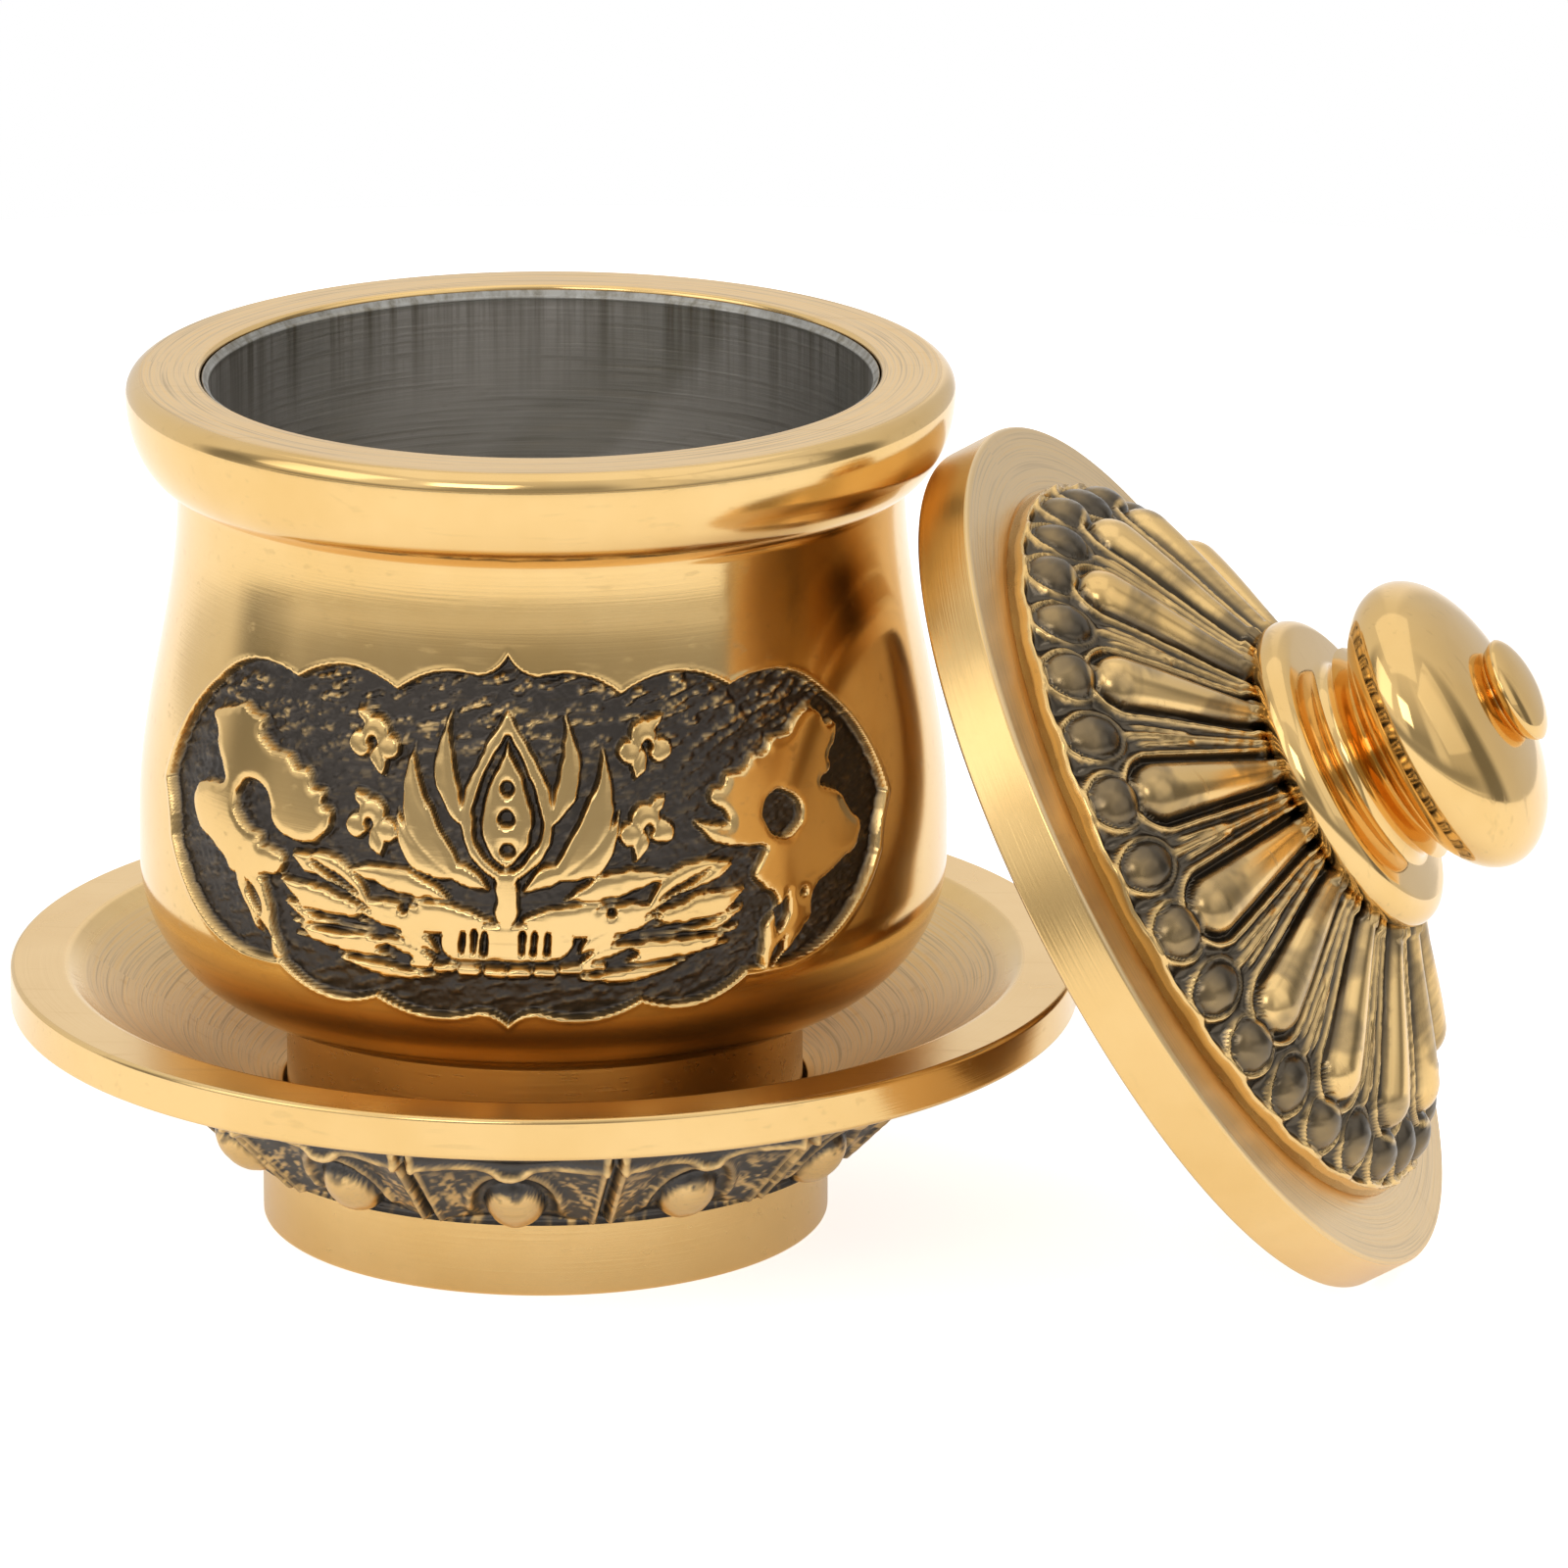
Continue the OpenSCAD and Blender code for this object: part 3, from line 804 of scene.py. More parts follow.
    def liner(self, finishes: "Finishes") -> bpy.types.Object:
        """Builds the grey liner with its rounded floor.

        Args:
            finishes: The materials of the set.

        Returns:
            The new piece.
        """
        outer = self.bore_r - self.liner_gap
        inner = outer - self.liner_wall
        top = self.lip_z - self.liner_drop
        centre = (outer - self.floor_round, self.floor_z + self.floor_round)
        points = np.concatenate([
            [[AXIS_R, self.floor_z]],
            arc(centre, self.floor_round, -90.0, 0.0, 12),
            arc((outer - 0.12, top - 0.12), 0.12, 0.0, 90.0, 4),
            arc((inner + 0.25, top - self.liner_wall - 0.05), 0.25, 110.0, 180.0, 6),
            resampled(np.array([[inner, top - 1.0], [inner, centre[1]]]), 1.5),
            arc(centre, self.floor_round - self.liner_wall, 0.0, -90.0, 24),
            [[AXIS_R, self.floor_z + self.liner_wall]],
        ])
        edge = (points[:, 1] > top - self.liner_wall - 0.2).astype(float)[:, None]
        turn = np.linspace(0.0, 2.0 * math.pi, self.liner_steps, endpoint=False)[None, :]
        stains = lattice_noise(3.0 * np.cos(turn), 3.0 * np.sin(turn) + 0.12 * points[:, 1:], 5.0)
        bare = np.maximum(edge, 0.7 * smooth(0.45, 0.8, stains))
        satin = np.maximum(edge, 0.85)
        piece = make_piece("liner", turned(points, self.liner_steps), bare, satin)
        return dress(piece, Body.CUP, finishes.liner, ["cup_liner"])


@dataclass
class LotusRelief:
    """The ring of downward lotus petals under the saucer."""

    petals: int = 12
    egg_h: float = 1.7
    egg_half_w: float = 2.15
    egg_half_l: float = 2.75
    egg_round: float = 0.62
    hood_h: float = 0.5
    hood_at: float = 2.9
    hood_half_w: float = 3.2
    hood_half_l: float = 4.6
    hood_w: float = 0.12
    leaf_h: float = 0.9
    fold_depth: float = 0.75
    fold_w: float = 0.3
    rib_h: float = 0.34
    rib_off: float = 0.62
    rib_w: float = 0.26
    swag_h: float = 0.5
    swag_at: float = 9.3
    swag_sag: float = 1.9
    swag_w: float = 0.42
    grain_h: float = 0.07

    def carve(self, along: Array, radius: Array, turn: Array) -> tuple[Array, Array]:
        """Works out the collar's relief.

        Args:
            along: Distance up the slope from the collar's bottom edge, in mm.
            radius: Distance from the axis, in mm.
            turn: Angle round the axis from the front, in radians.

        Returns:
            Relief in mm, and how bare the brass is, from 0 to 1.
        """
        pitch = 2.0 * math.pi / self.petals
        off = (turn + pitch / 2.0) % pitch - pitch / 2.0
        share = np.abs(off) / (pitch / 2.0)
        side = off * radius
        to_fold = (1.0 - share) * radius * pitch / 2.0
        egg_far = (side / self.egg_half_w) ** 2 + ((along - self.egg_half_l) / self.egg_half_l) ** 2
        egg = self.egg_h * np.clip(1.0 - egg_far, 0.0, 1.0) ** self.egg_round
        hood_far = np.hypot(side / self.hood_half_w, (along - self.hood_at) / self.hood_half_l)
        hood = self.hood_h * soft_ridge(hood_far - 1.0, self.hood_w) * smooth(0.8, 2.6, along)
        leaf = self.leaf_h * smooth(0.3, 0.95, share) * smooth(-0.4, 1.2, along)
        fold = self.fold_depth * soft_ridge(to_fold, self.fold_w)
        rib = self.rib_h * soft_ridge(to_fold - self.rib_off, self.rib_w) * smooth(0.3, 1.2, along)
        swag_z = self.swag_at - self.swag_sag * (1.0 - share) ** 1.5
        swag = self.swag_h * soft_ridge(along - swag_z, self.swag_w)
        grain = lattice_noise(turn * radius * 1.6, along * 1.3, 5.0)
        speck = lattice_noise(turn * radius * 3.6, along * 3.1, 8.0)
        relief = egg + hood + leaf - fold + rib + swag + (grain - 0.5) * self.grain_h
        rub = smooth(0.5, 0.72, 0.6 * speck + 0.4 * grain) * smooth(0.25, 0.6, share)
        rub = rub * (1.0 - smooth(5.5, 9.0, along))
        crown = smooth(0.45, 0.9, egg) * (1.0 - smooth(4.6, 5.8, along + 0.9 * speck))
        bare = 1.6 * crown + 0.9 * smooth(0.16, 0.3, rib) + 0.5 * smooth(0.28, 0.45, hood)
        bare = bare + 0.75 * smooth(0.25, 0.45, swag) * (0.5 + grain) + 0.8 * rub
        return relief, np.clip(bare * (0.7 + 0.45 * grain) * (1.0 - smooth(0.2, 0.6, fold)), 0.0, 1.0)


@dataclass
class Saucer:
    """The saucer's dish, lotus collar and foot ring."""

    rim_r: float
    rim_z: float
    rim_t: float = 3.0
    rim_w: float = 4.0
    wall: float = 2.3
    well_z: float = 9.8
    seat_r: float = 18.7
    seat_depth: float = 1.6
    ring_r: float = 20.2
    ring_h: float = 5.8
    ring_wall: float = 3.6
    collar_top_r: float = 29.4
    collar_foot_r: float = 21.8
    gap: float = 0.1
    dish_steps: int = 512
    collar_steps: int = 720
    foot_steps: int = 384

    @classmethod
    def from_frame(cls) -> "Saucer":
        """Takes the saucer's outer sizes from the CAD solid."""
        low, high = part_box("saucer_dish")
        return cls(rim_r=(high[0] - low[0]) / 2.0 / MM, rim_z=high[2] / MM)

    @property
    def slope(self) -> float:
        """Rise of the dish's cone for each millimetre outward."""
        return (self.rim_z - self.well_z) / (self.rim_r - self.rim_w - self.seat_r)

    def under(self, radius: float) -> float:
        """Height of the dish's underside at a radius, in mm."""
        drop = self.wall * math.sqrt(1.0 + self.slope**2)
        return self.rim_z - (self.rim_r - self.rim_w - radius) * self.slope - drop

    def build(self, finishes: "Finishes") -> list[bpy.types.Object]:
        """Builds and dresses the dish, the collar and the foot ring."""
        return [self.dish(finishes), self.collar(finishes), self.foot(finishes)]

    def dish(self, finishes: "Finishes") -> bpy.types.Object:
        """Builds the dish with its flat rim, cone and seat.

        Args:
            finishes: The materials of the set.

        Returns:
            The new piece.
        """
        hub_r = self.ring_r - self.ring_wall / 2.0
        inner_r = self.rim_r - self.rim_w
        under_z = self.rim_z - self.rim_t
        under_r = inner_r + (self.wall * math.sqrt(1.0 + self.slope**2) - self.rim_t) / self.slope
        points = filleted([
            (AXIS_R, self.ring_h, 0.0), (hub_r, self.ring_h, 0.3), (hub_r, self.under(hub_r), 0.3),
            (under_r, under_z, 1.0), (self.rim_r, under_z, 0.35), (self.rim_r, self.rim_z, 0.35),
            (inner_r, self.rim_z, 1.2), (self.seat_r, self.well_z, 0.25),
            (self.seat_r, self.well_z - self.seat_depth, 0.3), (AXIS_R, self.well_z - self.seat_depth, 0.0),
        ], steps=8)
        points = resampled(points, 2.0)
        cone = (points[:, 0] < inner_r - 0.3) & (points[:, 1] > self.well_z - self.seat_depth - 0.01)
        top = (points[:, 1] > self.rim_z - 0.02) & (points[:, 0] < self.rim_r - 0.3)
        satin = np.where(cone, 1.0, np.where(top, 0.6, 0.15))[:, None]
        piece = make_piece("dish", turned(points, self.dish_steps), satin=satin)
        return dress(piece, Body.SAUCER, finishes.polished, ["saucer_dish"])

    def collar(self, finishes: "Finishes") -> bpy.types.Object:
        """Builds the ring of lotus petals.

        Args:
            finishes: The materials of the set.

        Returns:
            The new piece.
        """
        inner_r = self.ring_r - self.ring_wall / 2.0 + self.gap
        top_z = self.under(self.collar_top_r) - self.gap
        slope = np.array([[self.collar_foot_r, self.ring_h], [self.collar_top_r, top_z]])
        face = resampled(slope, 0.16)
        points = np.concatenate([
            [[inner_r, self.under(inner_r) - self.gap], [inner_r, self.ring_h], [self.ring_r, self.ring_h]],
            face, [[inner_r, self.under(inner_r) - self.gap]],
        ])
        along = np.linalg.norm(face - face[0], axis=1)
        turn = turns(self.collar_steps)[None, :]
        relief, bare = LotusRelief().carve(along[:, None], face[:, 0:1], turn)
        fade = smooth(0.0, 0.25, along)[:, None] * (1.0 - smooth(along[-1] - 0.6, along[-1], along))[:, None]
        lift = np.zeros((len(points), self.collar_steps))
        marks = np.zeros_like(lift)
        lift[3:-1] = (relief - 0.6) * fade
        marks[3:-1] = bare
        piece = make_piece("lotus_ring", turned(points, self.collar_steps, lift), marks, 0.75 * marks)
        return dress(piece, Body.SAUCER, finishes.blackened, ["lotus_collar"])

    def foot(self, finishes: "Finishes") -> bpy.types.Object:
        """Builds the brushed foot ring.

        Args:
            finishes: The materials of the set.

        Returns:
            The new piece.
        """
        inner = self.ring_r - self.ring_wall
        points = filleted([
            (inner + 1.0, self.ring_h, 0.0), (inner, self.ring_h, 0.3), (inner, 0.0, 0.4),
            (self.ring_r, 0.0, 0.35), (self.ring_r, self.ring_h, 0.3), (inner + 1.0, self.ring_h, 0.0),
        ])
        piece = make_piece("foot_ring", turned(resampled(points, 1.5), self.foot_steps), satin=0.6)
        return dress(piece, Body.SAUCER, finishes.brushed, ["saucer_foot"])


@dataclass
class PetalRelief:
    """The sixteen petals of the lid's dome, with their drops, ridges and beads."""

    petals: int = 16
    drop_from: float = 4.6
    drop_short: float = 0.4
    drop_nose: float = 1.9
    drop_half: float = 2.3
    drop_taper: float = 1.3
    drop_h: float = 1.85
    drop_fall: float = 0.7
    wrap_h: float = 0.62
    wrap_off: float = 0.7
    wrap_w: float = 0.33
    outer_h: float = 0.5
    outer_off: float = 1.5
    outer_w: float = 0.3
    bead_h: float = 1.25
    bead_at: float = 2.4
    bead_half_w: float = 1.9
    bead_half_l: float = 1.95
    ring_r: float = 2.2
    ring_w: float = 0.27
    oval_h: float = 1.1
    oval_at: float = 2.8
    oval_half_w: float = 1.68
    oval_half_l: float = 2.15
    hoop_at: float = 1.17
    hoop_w: float = 0.13
    tail_h: float = 0.6
    tail_w: float = 0.42
    floor_h: float = 0.25
    pit_depth: float = 0.5
    pit_at: float = 0.75
    band_h: float = 0.35
    tooth_h: float = 0.3
    teeth: int = 88
    grain_h: float = 0.07

    def carve(self, along: Array, radius: Array, turn: Array, length: float) -> tuple[Array, Array]:
        """Works out the dome's relief.

        Args:
            along: Distance up the slope from the dome's edge, in mm.
            radius: Distance from the lid's axis, in mm.
            turn: Angle round the axis, in radians.
            length: Length of the slope, in mm.

        Returns:
            Relief in mm, and how bare the brass is, from 0 to 1.
        """
        pitch = 2.0 * math.pi / self.petals
        off = (turn + pitch / 2.0) % pitch - pitch / 2.0
        side = off * radius
        seam = (np.abs(off) - pitch / 2.0) * radius
        t = np.clip((along - self.drop_from) / (length - self.drop_short - self.drop_from), 0.0, 1.0)
        half = self.drop_half - self.drop_taper * t
        past = np.clip(self.drop_from + self.drop_nose - along, 0.0, None)
        inside = half - np.hypot(side, past)
        drop = (self.drop_h - self.drop_fall * t) * bulge(np.clip(1.0 - inside / half, 0.0, 1.0) ** 2)
        wrap = self.wrap_h * soft_ridge(inside + self.wrap_off, self.wrap_w)
        outer = self.outer_h * soft_ridge(inside + self.outer_off, self.outer_w)
        outer = outer * smooth(5.2, 7.0, along) * (1.0 - smooth(10.5, 13.5, along))
        from_bead = along - self.bead_at
        bead = self.bead_h * bulge((side / self.bead_half_w) ** 2 + (from_bead / self.bead_half_l) ** 2)
        outward = 1.0 - smooth(1.4, 3.6, along)
        ring = (0.3 + 0.25 * outward) * soft_ridge(np.hypot(side, from_bead) - self.ring_r, self.ring_w)
        far = np.hypot(seam / self.oval_half_w, (along - self.oval_at) / self.oval_half_l)
        oval = self.oval_h * bulge(far**2)
        hoop = (0.26 + 0.22 * outward) * soft_ridge(far - self.hoop_at, self.hoop_w)
        tail = self.tail_h * soft_ridge(seam, self.tail_w) * smooth(4.6, 5.8, along)
        floor = self.floor_h * smooth(0.0, 3.0, along)
        pit = soft_ridge((np.abs(off) - pitch * 0.27) * radius, 0.55) * soft_ridge(along - self.pit_at, 0.6)
        band = self.band_h * (1.0 - smooth(0.25, 0.5, along))
        teeth = smooth(length - 0.9, length - 0.5, along) * (0.5 + 0.5 * np.cos(turn * self.teeth))
        grain = lattice_noise(turn * radius * 1.9, along * 2.1, 11.0)
        blotch = lattice_noise(turn * 7.0, along * 0.35, 2.0)
        crest = smooth(0.5, 1.0, drop)
        relief = floor + np.maximum.reduce([drop, wrap, outer, tail, bead, ring, oval, hoop])
        relief = relief - self.pit_depth * pit + band + self.tooth_h * teeth
        relief = relief + (grain - 0.5) * self.grain_h * (1.0 - crest)
        bare = 1.25 * crest * (0.45 + 0.7 * smooth(0.25, 0.55, blotch)) * (1.0 - 0.55 * smooth(0.6, 1.0, t))
        bare = bare + 0.9 * smooth(0.3, 0.58, wrap)
        bare = bare + 0.8 * smooth(0.22, 0.46, outer) + 0.8 * smooth(0.25, 0.55, tail)
        bare = bare + (0.35 + 0.6 * outward) * (smooth(0.18, 0.38, ring) + smooth(0.16, 0.34, hoop))
        bare = bare + 3.0 * band
        bare = bare + (0.1 + 0.3 * blotch) * outward * (smooth(0.3, 0.9, bead) + smooth(0.3, 0.8, oval))
        return relief, np.clip(bare * (0.68 + 0.45 * grain), 0.0, 1.0)


@dataclass
class Lid:
    """The leaning lid: flange, petal dome, knob, screw and washer, made about the lid's own axis."""

    place: Matrix
    flange_r: float = 32.5
    flange_t: float = 4.1
    bore_r: float = 20.0
    locating_r: float = 22.8
    locating_wall: float = 2.4
    locating_h: float = 3.0
    dome_r: float = 27.3
    dome_step: float = 1.2
    dome_h: float = 9.6
    dome_crown: float = 1.1
    dome_wall: float = 2.2
    knob_r: float = 11.7
    knob_base_h: float = 3.2
    waist_r: float = 7.2
    waist_h: float = 2.4
    ball_r: float = 10.8
    ball_h: float = 9.4
    button_r: float = 3.9
    button_h: float = 2.0
    screw_r: float = 1.8
    head_r: float = 3.5
    head_h: float = 2.2
    washer_r: float = 5.0
    washer_t: float = 0.8
    hole_r: float = 2.0
    screw_shank: float = 6.6
    screw_end: float = 6.9
    slot_depth: float = 0.9
    flange_steps: int = 512
    dome_rows: int = 96
    dome_steps: int = 880
    knob_steps: int = 320
    screw_steps: int = 128

    @classmethod
    def from_frame(cls) -> "Lid":
        """Finds the lid's axis from its joint and its place from the washer on that axis.

        Returns:
            The lid, with its own frame in place.
        """
        axis = Vector(next(j["axis"] for j in frame["joints"] if j["child"] == Body.LID.value)).normalized()
        low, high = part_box("knob_washer")
        middle = (Vector(low) + Vector(high)) / 2.0
        level = (cls.dome_h - cls.dome_wall - cls.washer_t / 2.0) * MM
        turn = math.atan2(axis.y, axis.x)
        tilt = math.acos(max(-1.0, min(1.0, axis.z)))
        stand = Matrix.Translation(middle - axis * level) @ Matrix.Rotation(turn, 4, "Z")
        return cls(stand @ Matrix.Rotation(tilt, 4, "Y"))

    def crown(self, t: Array) -> Array:
        """Gives the swell of the dome's slope, in mm, from its edge at 0 to the knob at 1."""
        return 4.0 * self.dome_crown * t * (1.0 - t) ** 2

    def build(self, finishes: "Finishes") -> list[bpy.types.Object]:
        """Builds and dresses the lid's pieces."""
        makers = (self.flange, self.dome, self.knob, self.screw, self.washer)
        return [make(finishes) for make in makers]

    def flange(self, finishes: "Finishes") -> bpy.types.Object:
        """Builds the satin flange with the locating rim under it.

        Args:
            finishes: The materials of the set.

        Returns:
            The new piece.
        """
        rim_in = self.locating_r - self.locating_wall
        under = -self.flange_t
        lowest = under - self.locating_h
        points = filleted([
            (self.bore_r + 1.0, 0.0, 0.0), (self.bore_r, 0.0, 0.2), (self.bore_r, under, 0.2),
            (rim_in, lowest, 0.4), (self.locating_r, lowest, 0.5), (self.locating_r, under, 0.3),
            (self.flange_r, under, 0.25), (self.flange_r, 0.0, 0.35), (self.bore_r + 1.0, 0.0, 0.0),
        ])
        points = resampled(points, 1.6)
        satin = np.where(points[:, 0] > self.flange_r - 0.02, 0.55, 1.0)[:, None]
        piece = make_piece("flange", turned(points, self.flange_steps), satin=satin, place=self.place)
        return dress(piece, Body.LID, finishes.brushed, ["lid_flange"])

    def dome(self, finishes: "Finishes") -> bpy.types.Object:
        """Builds the hollow dome with its petals.

        Args:
            finishes: The materials of the set.

        Returns:
            The new piece.
        """
        t = np.linspace(0.0, 1.0, self.dome_rows)
        rise = self.dome_h - self.dome_step
        face = np.stack([
            self.dome_r + (self.knob_r - 0.4 - self.dome_r) * t, self.dome_step + rise * t + self.crown(t)
        ], axis=1)
        top = self.dome_h - self.dome_wall
        inner_t = np.linspace(1.0, 0.0, 8)
        hollow_r = self.dome_r + (self.knob_r - self.dome_r) * inner_t - self.dome_wall
        hollow = np.stack([
            np.maximum(hollow_r, self.washer_r), np.minimum(rise * inner_t + self.crown(inner_t), top)
        ], axis=1)
        hole = [[self.hole_r, self.dome_h], [self.hole_r, top], [self.washer_r, top]]
        inside = np.concatenate([hole, hollow, [[self.dome_r, 0.0]]])
        points = np.concatenate([inside, face, [[self.hole_r, self.dome_h]]])
        first, last = len(inside), len(inside) + len(face)
        turn = turns(self.dome_steps)[None, :]
        along = np.concatenate([[0.0], np.cumsum(np.linalg.norm(np.diff(face, axis=0), axis=1))])
        relief, bare = PetalRelief().carve(along[:, None], face[:, 0:1], turn, float(along[-1]))
        lift = np.zeros((len(points), self.dome_steps))
        marks = np.zeros_like(lift)
        fade = smooth(0.0, 0.3, along)[:, None]
        lift[first:last] = (relief - 0.5) * fade
        marks[:first], marks[first:last] = 1.0, bare
        marks[first - 1: first + 2] = 1.0
        satin = (np.arange(len(points)) < first - 1).astype(float)[:, None]
        piece = make_piece("dome", turned(points, self.dome_steps, lift), marks, satin, self.place)
        return dress(piece, Body.LID, finishes.darkened, ["petal_dome"])

    def knob(self, finishes: "Finishes") -> bpy.types.Object:
        """Builds the turned knob.

        Args:
            finishes: The materials of the set.

        Returns:
            The new piece.
        """
        base_half = self.knob_base_h / 2.0
        waist_z = self.dome_h + self.knob_base_h
        ball_z = waist_z + self.waist_h + self.ball_h / 2.0 - 0.6
        button_z = ball_z + self.ball_h / 2.0
        angles = np.radians(np.linspace(-60.0, 80.0, 48))
        ball_r = self.ball_r * np.cos(angles) ** 0.8
        ball = np.stack([ball_r, ball_z + self.ball_h / 2.0 * np.sin(angles)], axis=1)
        end = np.radians(np.linspace(10.0, 90.0, 14))
        button = np.stack([
            np.maximum(self.button_r * np.cos(end), AXIS_R),
            button_z + self.button_h * (0.35 + 0.65 * np.sin(end)),
        ], axis=1)
        neck_turn = np.radians(np.linspace(0.0, 180.0, 15))
        neck = np.stack([
            self.waist_r + 0.9 - 0.9 * np.sin(neck_turn),
            waist_z + 0.2 + self.waist_h * 0.35 * (1.0 - np.cos(neck_turn)),
        ], axis=1)
        points = np.concatenate([
            [[AXIS_R, self.dome_h]],
            arc((self.knob_r - base_half, self.dome_h + base_half), base_half, -90.0, 80.0, 18),
            neck, ball, [[self.button_r - 0.5, button_z + 0.05]],
            [[self.button_r - 0.15, button_z + self.button_h * 0.3]], button,
        ])
        piece = make_piece("knob", turned(resampled(points, 0.8), self.knob_steps), place=self.place)
        return dress(piece, Body.LID, finishes.mirror, ["lid_knob"])

    def screw(self, finishes: "Finishes") -> bpy.types.Object:
        """Builds the screw under the knob, with a slot sunk in its head.

        Args:
            finishes: The materials of the set.

        Returns:
            The new piece.
        """
        top = self.dome_h - self.dome_wall - self.washer_t
        head_z = top - self.head_h
        knob_z = top + self.washer_t + self.dome_wall
        face = resampled(filleted([
            (AXIS_R, head_z, 0.0), (self.head_r, head_z, 0.5), (self.head_r, top, 0.15),
            (self.screw_r, top, 0.0), (self.screw_r, knob_z + self.screw_shank, 0.3),
            (AXIS_R, knob_z + self.screw_end, 0.0),
        ]), 0.25)
        across = np.abs(face[:, 0:1] * np.cos(turns(self.screw_steps))[None, :])
        slot = -self.slot_depth * (1.0 - smooth(0.35, 0.55, across))
        lift = np.where(face[:, 1:2] < head_z + 0.02, slot, 0.0)
        piece = make_piece("screw", turned(face, self.screw_steps, lift), satin=1.0, place=self.place)
        return dress(piece, Body.LID, finishes.steel, ["knob_screw"])

    def washer(self, finishes: "Finishes") -> bpy.types.Object:
        """Builds the washer under the screw's head.

        Args:
            finishes: The materials of the set.

        Returns:
            The new piece.
        """
        top = self.dome_h - self.dome_wall
        low = top - self.washer_t
        points = filleted([
            (self.hole_r + 0.4, low, 0.0), (self.washer_r, low, 0.15), (self.washer_r, top, 0.15),
            (self.hole_r, top, 0.1), (self.hole_r, low, 0.1), (self.hole_r + 0.4, low, 0.0),
        ])
        piece = make_piece("washer", turned(points, self.screw_steps), satin=1.0, place=self.place)
        return dress(piece, Body.LID, finishes.steel, ["knob_washer"])


def dress(
    piece: bpy.types.Object, body: Body, material: bpy.types.Material, nodes: list[str]
) -> bpy.types.Object:
    """Gives a piece its material and its body, and hides the CAD nodes that it stands for.

    Args:
        piece: The piece.
        body: The body that it rides on.
        material: The finish.
        nodes: CAD nodes that the piece replaces.

    Returns:
        The same piece.
    """
    piece.data.materials.append(material)
    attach(piece, body.value)
    if nodes:
        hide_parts(*nodes)
    return piece


class Graph:
    """A node tree, with short ways to add nodes and join them."""

    def __init__(self, tree: bpy.types.NodeTree) -> None:
        """Takes the tree to build in."""
        self.tree = tree

    def feed(self, socket: Socket, value: object) -> None:
        """Fills an input.

        Args:
            socket: The input.
            value: An output to join to it, or a number, vector or colour to set.
        """
        if isinstance(value, bpy.types.NodeSocket):
            self.tree.links.new(value, socket)
        else:
            socket.default_value = value

    def add(self, kind: str, **values: object) -> bpy.types.Node:
        """Adds a shader node.

        Args:
            kind: Blender's type name of the node, after its first word ShaderNode.
            values: Properties by name, or what feeds an input, with spaces in its name as underscores.

        Returns:
            The new node.
        """
        node = self.tree.nodes.new("ShaderNode" + kind)
        for key, value in values.items():
            if hasattr(node, key):
                setattr(node, key, value)
            else:
                self.feed(node.inputs[key.replace("_", " ")], value)
        return node

    def math(self, operation: str, first: object, second: object = None) -> Socket:
        """Adds a Math node.

        Args:
            operation: Blender's name of the sum.
            first: First value, a socket or a number.
            second: Second value, if the sum has two.

        Returns:
            The result.
        """
        node = self.add("Math", operation=operation)
        for socket, value in zip(node.inputs, (first, second)):
            if value is not None:
                self.feed(socket, value)
        return node.outputs[0]

    def plus(self, first: object, second: object) -> Socket:
        """Adds two values."""
        return self.math("ADD", first, second)

    def minus(self, first: object, second: object) -> Socket:
        """Takes the second value from the first."""
        return self.math("SUBTRACT", first, second)

    def times(self, first: object, second: object) -> Socket:
        """Multiplies two values."""
        return self.math("MULTIPLY", first, second)

    def most(self, first: object, second: object) -> Socket:
        """Takes the greater of two values."""
        return self.math("MAXIMUM", first, second)

    def step(self, value: Socket, low: float, high: float, start: float = 0.0) -> Socket:
        """Rises from start to 1 as a value goes from low to high."""
        return self.add("MapRange", Value=value, From_Min=low, From_Max=high, To_Min=start).outputs[0]

    def mix(self, factor: Socket, first: object, second: object) -> Socket:
        """Blends two colours.

        Args:
            factor: 0 for the first colour and 1 for the second.
            first: A socket or three numbers.
            second: A socket or three numbers.

        Returns:
            The blended colour.
        """
        node = self.add("Mix", data_type="RGBA", Factor=factor)
        for name, value in (("A", first), ("B", second)):
            self.feed(node.inputs[name], (*value, 1.0) if isinstance(value, tuple) else value)
        return node.outputs["Result"]

    def ramp(self, value: Socket, stops: list[tuple[float, Colour]]) -> Socket:
        """Adds a colour ramp.

        Args:
            value: What runs along the ramp, from 0 to 1.
            stops: Position and colour of each stop, in order.

        Returns:
            The ramp's colour.
        """
        node = self.add("ValToRGB")
        elements = node.color_ramp.elements
        elements[0].position, elements[1].position = stops[0][0], stops[-1][0]
        for position, _ in stops[1:-1]:
            elements.new(position)
        for element, (_, colour) in zip(elements, stops):
            element.color = (*colour, 1.0)
        self.feed(node.inputs[0], value)
        return node.outputs["Color"]

    def noise(self, spot: Socket, scale: object, detail: float, roughness: float = 0.5) -> Socket:
        """Adds a noise texture and gives its grey value."""
        node = self.add("TexNoise", Vector=spot, Scale=scale, Detail=detail, Roughness=roughness)
        return node.outputs["Fac"]

    def mark(self, name: str) -> Socket:
        """Reads one of the values that are stored on the mesh's points."""
        return self.add("Attribute", attribute_name=name).outputs["Fac"]

    def own_spot(self) -> Socket:
        """Reads each point's place in its piece's own frame, in metres."""
        return self.add("Attribute", attribute_name="own_spot").outputs["Vector"]

    def split(self, vector: Socket) -> list[Socket]:
        """Splits a vector into x, y and z."""
        return list(self.add("SeparateXYZ", Vector=vector).outputs)

    def joined(self, x: Socket, y: Socket, z: Socket) -> Socket:
        """Joins x, y and z into a vector."""
        return self.add("CombineXYZ", X=x, Y=y, Z=z).outputs[0]


